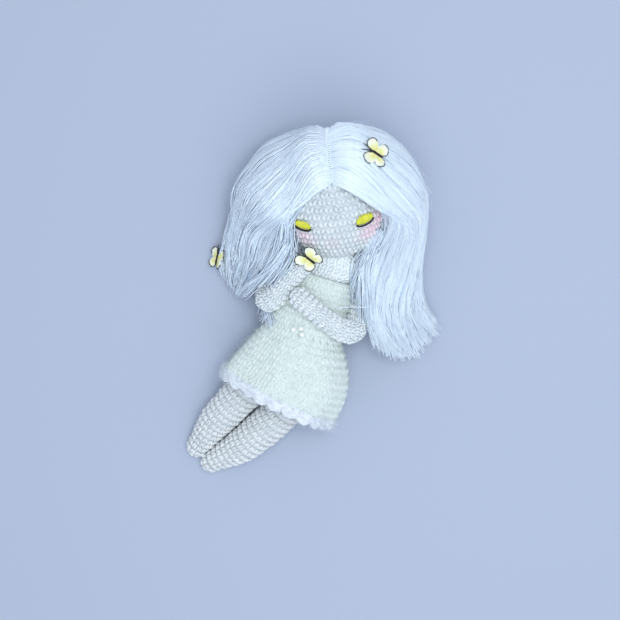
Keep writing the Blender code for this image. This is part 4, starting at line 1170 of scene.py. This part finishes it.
def crown_point(side, along, across, depth):
    """A point of the hair on the head: along the part, away from it, and from the outside inward."""
    part = HAIRLINE + (PART_END - HAIRLINE) * along
    face_edge = LEFT_FACE_EDGE if side > 0 else RIGHT_FACE_EDGE
    turn = face_edge + (math.pi - face_edge) * along
    drop = CROWN_DROP
    if side < 0:
        settle = min(max((turn - math.pi / 2) / (LOCK_TOP_EDGE - math.pi / 2), 0), 1)
        drop = RIGHT_FRONT_DROP + (CROWN_DROP - RIGHT_FRONT_DROP) * settle
    start = HEAD_UP * math.sin(part) + HEAD_FORWARD * math.cos(part)
    level = HEAD_LEFT * side * math.sin(turn) + HEAD_FORWARD * math.cos(turn)
    end = level * math.cos(drop) - HEAD_UP * math.sin(drop)
    direction = start.slerp(end, across)
    inner = skull_reach(direction) + CLEARANCE
    full = hair_reach(direction) - inner
    ease = min(across / 0.45, 1)
    ease = ease * ease * (3 - 2 * ease)
    root = min(across / 0.10, 1) ** 0.7
    thick = PART_THICKNESS * root + max(full - PART_THICKNESS, 0) * ease
    thick -= SLIM[side] * math.sin(math.pi * min(across, 1)) ** 2
    outer = min(inner + thick, (HEAD.z - 0.0003) / max(-direction.z, 1e-6))
    reach = inner + (outer - inner) * (1 - depth)
    return HEAD + direction * reach + HEAD_LEFT * side * (0.0004 + 0.0005 * root)


print("the hair reaches", round(hair_reach(HEAD_LEFT) * 1000, 1), "mm beside the middle of the head")

# %% [markdown]
# A thread's whole way could be drawn by hand once, but there are thousands. So a few numbers stand for it:
# its side, its place from the front edge to the back, and its depth. The same numbers always give the same way.


# %% Ways of the locks
def lock_line(side, shares, depth):
    """The points below the head for a thread of a side lock, from its front edge at 0 to its back at 1."""
    line = []
    for share, places in zip(shares, LEFT_LOCK_SHARES if side > 0 else RIGHT_LOCK_SHARES):
        a, b, c = (1 - share) ** 2, 2 * share * (1 - share), share**2
        mixed = [f * a + (2 * m - (f + e) / 2) * b + e * c for f, m, e in zip(*places)]
        place = WAIST + Vector((mixed[0] * LOCK_SPREAD, mixed[1] * LOCK_REACH, mixed[2] * LOCK_HEIGHT))
        inward = Vector((WAIST.x - place.x, 0, -LOCK_SPREAD - place.z)).normalized()
        line.append(place + inward * LOCK_THICKNESS * depth)
    return line


def leave(side, share):
    """How far along the part a lock's thread starts at the end of the crown, and how far down it leaves."""
    leaves = LEFT_LOCK_LEAVES if side > 0 else RIGHT_LOCK_LEAVES
    early = max(1 - share / LOCK_FRONT_SHARE, 0)
    late = max(share - LOCK_FRONT_SHARE, 0) / (1 - LOCK_FRONT_SHARE)
    return late, 1 - (1 - leaves) * early


def crown_depth(depth, across):
    """The hair is thin at the part and thick beside the head, so a thread's depth is eased between them."""
    return depth * (0.75 + (0.22 - 0.75) * min(across, 1))


def lock_thread(side, share, gathered, depth, count):
    """The whole way of a thread of a side lock, whose low part draws toward its wisp."""
    late, end = leave(side, share)
    points = []
    for step in LOCK_STEPS[side]:
        along = LOCK_LAST[side] * (share + (late - share) * step * step * (3 - 2 * step))
        points.append(crown_point(side, along, step * end, crown_depth(depth, step * end)))
    shares = [share + (gathered - share) * pull for pull in (0.25, 0.5, 0.6)]
    return smooth_path(points + lock_line(side, shares, depth), count)


def back_thread(side, share, gathered, depth, count):
    """The whole way of a thread of the back lock, from its side edge at 0 to its middle at 1."""
    first = LOCK_LAST[side]
    along = first + (1 - first) * share
    points = [crown_point(side, along, step, crown_depth(depth, step)) for step in BACK_STEPS]
    tip = WAIST + Vector((side * (1 - gathered) * BACK_LOCK_TIP_WIDTH / 2, BACK_LOCK_TIP, 0))
    top = points[-1]
    for step in (0.3, 0.6, 1.0):
        place = top.lerp(tip, step)
        place.z = CLEARANCE + BACK_LOCK_THICKNESS * (0.1 + 0.8 * depth)
        points.append(place)
    return smooth_path(points, count)


print("points on the way of a thread:", len(lock_thread(1, 0.5, 0.5, 0.0, 27)))

# %% [markdown]
# Real threads are not combed perfectly. They gather in wisps that wander together, each thread waves a little
# on its own, a few wave more, and the cut ends bend outward and differ in length.

# %% Combing into wisps
STEPS = 27
T = np.linspace(0, 1, STEPS)[:, None]
WISP_WANDER, THREAD_WAVE, THREAD_SWING, THREAD_SHIFT = 0.00050, 0.00013, 0.00035, 0.00009


def trimmed(path, first, last, count):
    """The part of a line between two shares of its length."""
    even = np.linspace(0, 1, len(path))
    return np.stack([np.interp(np.linspace(first, last, count), even, path[:, k]) for k in range(3)], axis=1)


def comb(maker, side, count, clumps, curl):
    """Thread lines of one side in wisps, with the wander of each wisp and of each thread, and a tone for each thread
    that is darker the deeper it lies: painted shade.
    """
    centres = (np.arange(clumps) + RNG.uniform(0.2, 0.8, clumps)) / clumps
    wander = RNG.normal(0, 1, (clumps, 2, 3))
    phase, length = RNG.random(clumps), RNG.normal(0, 0.018, clumps)
    lines, tints = [], []
    for _ in range(count):
        share = RNG.random()
        depth = RNG.random() ** 2.0
        clump = int(np.clip(np.searchsorted(centres, share + RNG.normal(0, 0.4 / clumps)), 0, clumps - 1))
        gathered = np.clip(centres[clump] + RNG.normal(0, 0.2 / clumps), 0, 1)
        path = maker(side, share, gathered, depth, STEPS)
        path = trimmed(path, 0, min(1.0, RNG.uniform(0.945, 0.995) + length[clump]), STEPS)
        loose = np.clip((T - 0.35) / 0.65, 0, 1)
        shift, way = wander[clump]
        sway = np.sin(2 * math.pi * (T * 2.3 + phase[clump])) * way
        path = path + sway * WISP_WANDER * loose + shift * WISP_WANDER * loose
        strength = THREAD_WAVE * (3.0 if RNG.random() < 0.12 else 1.0)
        own, swing = RNG.normal(0, 1, (2, 3))
        path = path + np.sin(2 * math.pi * (T * RNG.uniform(1.5, 4.5) + RNG.random())) * own * strength * (0.35 + loose)
        path = path + swing * THREAD_SWING * loose**2
        bend = np.clip((T - 0.80) / 0.20, 0, 1) ** 2
        path = path + VIEW_RIGHT * bend * curl * RNG.uniform(0.3, 1.3) + RNG.normal(0, THREAD_SHIFT, 3)
        lines.append(above(path, HAIR_FLOOR))
        # Deeper threads get a darker tone: painted shade beneath the outer threads, with a random spread.
        tints.append(np.clip(RNG.normal(0.80 - 0.45 * depth, 0.15), 0, 1))
    return lines, tints


print("points on a combed thread:", STEPS)

# %% [markdown]
# Between threads one would see the head. A thin closed layer, a little deeper in the hair, closes the gaps
# as the lower threads of the real doll do. It is a darker, bluer copy of the thread colour: painted shade
# deep in the hair.

# %% Layer beneath the threads
UNDER_ROWS, UNDER_COLUMNS, UNDER_REACH = 26, 25, 0.86


def add_under(name, nodes, maker, side, depth):
    """A closed layer beneath the threads, so that no gap shows through them."""
    layers = []
    for layer in (depth, min(depth + 0.3, 1.0)):
        for share in np.linspace(0, 1, UNDER_ROWS):
            layers += list(trimmed(maker(side, share, share, layer, 40), 0, UNDER_REACH, UNDER_COLUMNS))
    faces = plate_faces(UNDER_ROWS, UNDER_COLUMNS)
    settle(add_mesh(name, above(layers, HAIR_FLOOR), faces, material=UNDER_PAINTED_SHADE), "hair", *nodes)


print("points in a layer:", UNDER_ROWS * UNDER_COLUMNS * 2)


# %% Threads along a given way
def at_waist(points):
    """Points given in millimetres from the middle of the waist."""
    return np.array(points, float) / 1000 + np.array([WAIST.x, WAIST.y, 0])


def extra_threads(way, count, spread):
    """Threads along one given way, scattered more and more toward their ends."""
    lines = []
    for _ in range(count):
        path = smooth_path(at_waist(way), STEPS)
        first, second = RNG.normal(0, 1, (2, 3)) * spread
        path = path + first * (0.6 + 0.6 * T) + np.sin(2 * math.pi * (T * 1.5 + RNG.random())) * second * 0.4
        path = trimmed(path, 0.0, RNG.uniform(0.8, 1.0), STEPS)
        lines.append(above(path, HAIR_FLOOR))
    return lines, list(RNG.uniform(0.3, 0.9, count))


THICK = np.interp(T[:, 0], (0, 0.03, 0.9, 1), (0.00010, 0.00018, 0.00017, 0.00012))
print("hair paths ready, lock ends at", {k: round(v, 2) for k, v in LOCK_LAST.items()})

# %% [markdown]
# Besides the combed threads, a few bundles run along ways of their own, given in millimetres from the waist:
# a tuft of cut ends, threads in front of the right shoulder and beside the hand, one sweep over the arm, the
# hair at the left cheek, the inner edge of the left lock and one stray thread.

# %% Ways of their own
TUFT_START = [(-18, 20, 7), (-17, 14, 7), (-15.6, 9, 8)]
TUFT_ENDS = (
    [(-14.4, 4.8, 9.8), (-13.5, 1.8, 12.2), (-14.2, -1.0, 13.0)],
    [(-14.0, 4.6, 10.2), (-12.5, 1.8, 14.6), (-12.6, -1.2, 15.8)],
    [(-13.6, 4.4, 10.8), (-11.3, 1.9, 16.8), (-9.9, -0.8, 19.4)],
)
FRONT = [
    (-12.4, 39.8, 33), (-14, 36.2, 31.6), (-14.8, 32.9, 30.2), (-14.4, 29.6, 28.8), (-13.7, 26, 27),
    (-13.8, 22.2, 25.4), (-14.7, 18, 23.8), (-16.6, 12.3, 20),
]
BESIDE_HAND = [
    (-14, 30.3, 29), (-12.5, 27.1, 27.5), (-11.3, 24, 26), (-11.6, 20, 24.6), (-13.3, 15.2, 22.5), (-15.6, 10, 19),
]
SWEEP = [
    (-12.5, 24.8, 29.3), (-13.5, 21.0, 28.3), (-15.2, 17.2, 26.6), (-17.7, 12.6, 22.6), (-19.9, 8.5, 18.0),
    (-21.8, 5.0, 13.0),
]
CHEEK = [(10.5, 44, 28), (12.6, 40, 25.4), (13.4, 36, 22.4), (13.4, 31.5, 19), (12.8, 26.5, 15), (12, 18, 8)]
INNER_EDGE = [
    (11.6, 36.9, 25.2), (10.9, 32.6, 23.4), (11.1, 28.5, 22), (11.6, 23.9, 21), (13.4, 18.8, 20),
    (15.6, 12.9, 18), (18.5, 6.1, 15),
]
STRAY = [(7.5, 12, 25.5), (11, 13.4, 25), (15.5, 14.6, 23.5), (21, 16.5, 19)]
TUFT = [(TUFT_START + end, 34, 0.0006) for end in TUFT_ENDS]
WAYS = {
    1: [(STRAY, 1, 0.0001), (CHEEK, 120, 0.0008), (INNER_EDGE, 110, 0.0009)],
    -1: [*TUFT, (FRONT, 134, 0.0012), (BESIDE_HAND, 26, 0.0010), (SWEEP, 28, 0.0007)],
}
BEHIND_ARM = ((11.5, 33.5, 23.5), (10.4, 29, 20.5), (10, 24.5, 18.5), (10.6, 19, 16), (12, 12, 10))
print("threads on ways of their own:", sum(count for ways in WAYS.values() for _, count, _ in ways))


# %% Hair threads
def wisp(side):
    """A short fine thread that stands off the hair."""
    maker, depth = (lock_thread, back_thread)[RNG.random() < 0.45], RNG.uniform(-0.02, 0.1)
    share = RNG.random()
    first = RNG.uniform(0.05, 0.85)
    last = min(1.0, first + RNG.uniform(0.12, 0.3))
    path = trimmed(maker(side, share, share, depth, STEPS), first, last, 10)
    out = path - (np.array(HEAD) if first < 0.5 else np.array([path[0][0] * 0.6, path[0][1], -0.03]))
    out /= np.linalg.norm(out, axis=1, keepdims=True)
    t = np.linspace(0, 1, 10)[:, None]
    rise = 0.0001 + t * RNG.uniform(0.0002, 0.0020)
    return above(path + out * rise + np.sin(t * RNG.uniform(3, 9)) * RNG.normal(0, 0.0005, 3), HAIR_FLOOR)


LOCK_COUNT, BACK_COUNT = ((960, 700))
for side, label in SIDES:
    nodes = (f"hair_crown_{label}", f"hair_lock_{label}")
    back = (f"hair_crown_{label}", "hair_lock_back")
    lines, tints = comb(lock_thread, side, LOCK_COUNT, 30, 0.0036 if side > 0 else 0.0022)
    for way, count, spread in WAYS[side]:
        more, shades = extra_threads(way, count, spread)
        lines, tints = lines + more, tints + shades
    settle(add_threads(f"hair_{label}_threads", lines, THICK, HAIR, tints=tints), "hair", *nodes)
    add_under(f"hair_{label}_under", nodes, lock_thread, side, 0.45)
    lines, tints = comb(back_thread, side, BACK_COUNT, 22, 0.0)
    more, shades = extra_threads([(side * x, y, z) for x, y, z in BEHIND_ARM], 220, 0.0012)
    piece = add_threads(f"hair_{label}_back_threads", lines + more, THICK, HAIR, tints=tints + shades)
    settle(piece, "hair", *back)
    add_under(f"hair_{label}_back_under", back, back_thread, side, 0.5)
    wisps = [wisp(side) for _ in range(300)]
    settle(add_threads(f"hair_{label}_wisps", wisps, 0.000032, HAIR), "hair", *nodes)
    print(label, "threads in the lock and behind:", LOCK_COUNT, BACK_COUNT)

# %% [markdown]
# ## Parting seam
#
# On the real doll the hair is sewn down along the parting, and short slanting stitches show there. The
# seam is a row of small bowed threads across the line, close enough to hide the head beneath.

# %% Parting seam
seam = []
for share in np.linspace(0.02, 0.97, 62):
    part = HAIRLINE + (PART_END - HAIRLINE) * share
    direction = HEAD_UP * math.sin(part) + HEAD_FORWARD * math.cos(part)
    middle = HEAD + direction * (skull_reach(direction) + 0.0008)
    slant = HEAD_LEFT * 0.0006 + (HEAD_UP * math.cos(part) - HEAD_FORWARD * math.sin(part)) * 0.0003
    seam.append([np.array(middle + slant * s - direction * 0.0004 * s * s) for s in (-1, -0.5, 0, 0.5, 1)])
settle(add_threads("parting_stitches", seam, 0.00024, SEAM, sides=5), "head", "parting_seam")
print("stitches in the parting:", len(seam))

# %% [markdown]
# ## Butterflies
#
# The wings are organza: a thin pale cloth that frays to bright threads, with a dark stitched thread along
# part of its edge. A flat picture would vanish from the side, so each wing is a thin closed plate with
# threads on it. The colour follows two numbers on its points: how far round the fan, and how far out.

# %% Organza
WING_RINGS, WING_POINTS = 7, 41
WING_EDGES = {
    True: (
        (0.03, 0.12), (0.07, 0.34), (0.17, 0.49), (0.32, 0.54), (0.46, 0.47), (0.53, 0.32), (0.49, 0.17),
        (0.34, 0.05), (0.04, 0.00),
    ),
    False: (
        (0.04, 0.06), (0.27, 0.05), (0.42, -0.05), (0.47, -0.19), (0.39, -0.33), (0.26, -0.41), (0.13, -0.38),
        (0.05, -0.22), (0.03, -0.06),
    ),
}
organza = Paint("organza", (0.93, 0.92, 0.62), 0.6, Specular_IOR_Level=0.3)
weave = (organza.number("fan") * 75.0).sin() * 0.5 + 0.5
bright = (organza.number("reach") * -1.9 + 1.25 + weave * 0.15).clamp()
ORGANZA = organza.feed(
    Base_Color=organza.mix(bright, (0.88, 0.90, 0.76), (0.80, 0.79, 0.08)),
    Normal=organza.bump(weave, 0.00004, 0.6),
)
WING_THREAD = thread("wing_thread", (0.94, 0.92, 0.60), (0.88, 0.82, 0.22), 0.45)


def wing_edge(upper, count):
    """The edge of one wing as a share of the span, from root to root."""
    return smooth_path([(x, y, 0) for x, y in WING_EDGES[upper]], count)


print("points on a wing:", WING_RINGS * WING_POINTS * 2)


# %% Wings
def add_wings(label, at, span):
    """Four organza wings with their rays and their stitched edges. At gives a point from shares of the span."""
    points, faces, fan, reach, dashes, rays = [], [], [], [], [], []
    for side in (-1, 1):
        for upper in (True, False):
            outline, root = wing_edge(upper, WING_POINTS), np.array([0.02, 0.05 if upper else -0.05, 0])
            first = len(points)
            for lift in (0.00006, 0.00020):
                for share in (np.arange(WING_RINGS) + 0.35) / (WING_RINGS - 0.65):
                    for k, spot in enumerate(outline):
                        x, y, _ = root + (spot - root) * share * (1 + 0.025 * share * math.sin(k * 1.6))
                        points.append(at(side * x, y, lift, 0.008 * share**2 * math.sin(k * 0.9)))
                        fan.append(k / (WING_POINTS - 1))
                        reach.append(share)
            plate = plate_faces(WING_RINGS, WING_POINTS)
            faces += [tuple(first + i for i in (face if side < 0 else reversed(face))) for face in plate]
            edge = wing_edge(upper, 81)
            start, last = (8, 52) if upper else (30, 70)
            while start < last:
                dashes.append([at(side * x, y, 0.00018) for x, y, _ in edge[start : start + 9]])
                start += int(RNG.integers(9, 11))
            for k in range(2, 39, 2):
                ray = (outline[k] - root) * RNG.uniform(0.6, 0.95)
                rays.append([at(side * x, y, 0.00022) for x, y, _ in (root + ray * s for s in np.linspace(0.1, 1, 6))])
    wings = add_mesh(f"{label}_organza", points, faces, material=ORGANZA, values={"fan": fan, "reach": reach})
    rays = add_threads(f"{label}_rays", rays, 0.00005, WING_THREAD, sides=4)
    dark = add_threads(f"{label}_edge_thread", dashes, 0.00015, BLACK, sides=5)
    return join(f"{label}_wings_organza", wings, rays, dark)


print("faces of one wing:", len(plate_faces(WING_RINGS, WING_POINTS)))

# %% [markdown]
# The body is black thread wound round a slim core, and two stiff threads make the feelers. The winding is
# one long thread in a coil, which catches light as real thread does.

# %% Wound body and feelers
BODY_POINTS, WINDINGS = 15, 11
BODY_SWELL = ((0, 0.12, 0.4, 0.55, 0.8, 1), (0.3, 0.8, 1.0, 0.75, 1.0, 0.5))


def add_body(label, at, span, right, away):
    """The wound body of a butterfly and its two feelers."""
    steps = np.arange(BODY_POINTS)
    wound = np.interp(steps / (BODY_POINTS - 1), *BODY_SWELL) * span * 0.055
    spine = np.array([at(0.015 * math.sin(5 * y), y, 0.00035) for y in np.linspace(-0.27, 0.27, BODY_POINTS)])
    core = add_threads(f"{label}_core", [spine], wound, BLACK, sides=10)
    coil, feelers = [], []
    for s in np.linspace(0.02, 0.98, WINDINGS * 12):
        where = s * (BODY_POINTS - 1)
        centre = np.array([np.interp(where, steps, spine[:, i]) for i in range(3)])
        angle = 2 * math.pi * WINDINGS * s
        spoke = np.array(right * math.cos(angle) + away * math.sin(angle))
        coil.append(centre + spoke * (np.interp(where, steps, wound) + 0.00003))
    coil = add_threads(f"{label}_coil", [coil], 0.00006, BLACK, sides=5)
    for side in (-1, 1):
        feelers.append([
            at(0, 0.25 + 0.46 * s, 0.00035)
            + np.array(right) * side * (0.015 + 0.07 * s + 0.05 * s * s) * span
            + np.array(away) * span * 0.08 * math.sin(2.2 * s)
            for s in np.linspace(0, 1, 10)
        ])
    feelers = add_threads(f"{label}_feelers", feelers, np.linspace(0.00018, 0.00012, 10), BLACK, sides=6)
    return join(f"{label}_body_thread", core, coil, feelers)


print("windings on a body:", WINDINGS)

# %% [markdown]
# Each butterfly sits where its solid does. The flattest direction of the solid's points is the way it faces,
# and the long way of its body tells which end is ahead: the feelers spread there. So a butterfly that is
# moved on the solid doll is found again.

# %% Seats of the butterflies
SEATS = (
    ("crown_butterfly", 0.0074, "head", 0.0013),
    ("hand_butterfly", 0.0069, "right_arm", 0.0),
    ("lock_butterfly", 0.0064, "hair", 0.0004),
)
FOLD_OF_WINGS = 0.16


def from_middle(node):
    """The points of a solid from their middle, that middle, and their main directions."""
    spots = np.array([v.co for v in frame["nodes"][node].data.vertices], float)
    middle = spots.mean(axis=0)
    return spots - middle, middle, np.linalg.svd(spots - middle)[2]


for label, span, body, sink in SEATS:
    _, wing_middle, axes = from_middle(f"{label}_wings")
    spine, middle, (long_way, *_) = from_middle(f"{label}_body")
    away = Vector(axes[2]) * math.copysign(1, (middle - wing_middle) @ axes[2])
    reach = spine @ long_way
    aside = np.linalg.norm(spine - np.outer(reach, long_way), axis=1)
    wider = aside[reach > reach.max() / 2].mean() - aside[reach < reach.min() / 2].mean()
    ahead = Vector(long_way) * math.copysign(1, wider)
    ahead = (ahead - away * ahead.dot(away)).normalized()
    right = ahead.cross(away)
    seat = Vector(middle) - away * 0.0008 - ahead * span * 0.06
    seat -= (seat - HEAD).normalized() * sink

    def at(x, y, lift=0.0, ruffle=0.0):
        """A point on this butterfly, from its places beside and ahead as shares of the span."""
        rise = abs(x) * FOLD_OF_WINGS + 0.03 * math.sin(8 * abs(x) + 6 * y) + ruffle
        return np.array(seat + right * x * span + ahead * y * span + away * (rise * span + lift))

    wings, thread_body = add_wings(label, at, span), add_body(label, at, span, right, right.cross(ahead))
    settle(wings, body, f"{label}_wings")
    settle(thread_body, body, f"{label}_body")
    print(label, "faces", [round(v, 2) for v in away])

# %% [markdown]
# ## Floor, light and camera
#
# The doll lies on a plain pale surface. One large soft window light stands above its head, slightly to the
# right, and a weaker one below fills the shade. The camera looks down as in the photograph, turned so that
# the doll's head leans to the right.

# %% Floor and light
FLOOR = Paint("floor", (0.42, 0.47, 0.58), 0.9)
floor = add_mesh("floor", [(-2, -2, 0), (2, -2, 0), (2, 2, 0), (-2, 2, 0)], [(0, 1, 2, 3)], material=FLOOR.material)
floor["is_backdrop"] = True
LIGHTS = (
    ("window", (0.05, 0.13, 0.57), 0.26, 1.55, (0.92, 0.97, 1.0)),
    ("fill", (0.12, -0.20, 0.50), 0.44, 0.85, (0.86, 0.94, 1.0)),
)
world = bpy.data.worlds.new("studio")
bpy.context.scene.world = world
world.use_nodes = True
background = world.node_tree.nodes["Background"]
background.inputs["Color"].default_value = (0.78, 0.86, 1.0, 1)
background.inputs["Strength"].default_value = 0.68
for name, place, size, power, colour in LIGHTS:
    lamp = bpy.data.lights.new(name, "AREA")
    lamp.shape, lamp.size, lamp.energy, lamp.color = "SQUARE", size, power, colour
    thing = add_object(name, lamp)
    thing.location = place
    thing.rotation_euler = (Vector((0, 0, 0.01)) - Vector(place)).to_track_quat("-Z", "Y").to_euler()
print("lights:", len(LIGHTS))

# %% Camera
TILT, ROLL, PIXELS_PER_MM, DISTANCE = math.radians(8), math.radians(18), 3.3, 0.402
toward = Vector((0, math.sin(TILT), math.cos(TILT)))
upward = Vector((-math.sin(ROLL), math.cos(ROLL), 0))
upward = (upward - toward * toward.dot(upward)).normalized()
rightward = upward.cross(toward)
target = WAIST + Vector((-0.0015, 0, 0.012)) + (rightward * 10 + upward * 20) / PIXELS_PER_MM / 1000
camera = bpy.data.cameras.new("camera")
camera.lens, camera.sensor_width, camera.clip_start = 77, 36, 0.01
eye = add_object("camera", camera)
turned = Matrix((rightward, upward, toward)).transposed().to_4x4()
eye.matrix_world = Matrix.Translation(target + toward * DISTANCE) @ turned
bpy.context.scene.camera = eye
bpy.context.scene.view_settings.view_transform = "Standard"
print("camera at:", [round(v, 3) for v in eye.location])

# %% Gather the sizes and finish
END_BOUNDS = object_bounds()
boxes = {"cad": START_BOUNDS, "visual": END_BOUNDS}
sizes = {name: [list(map(float, corner)) for corner in box] for name, box in boxes.items()}
print("visual size:", [round(float(b - a) * 1000, 1) for a, b in zip(*END_BOUNDS)], "mm")
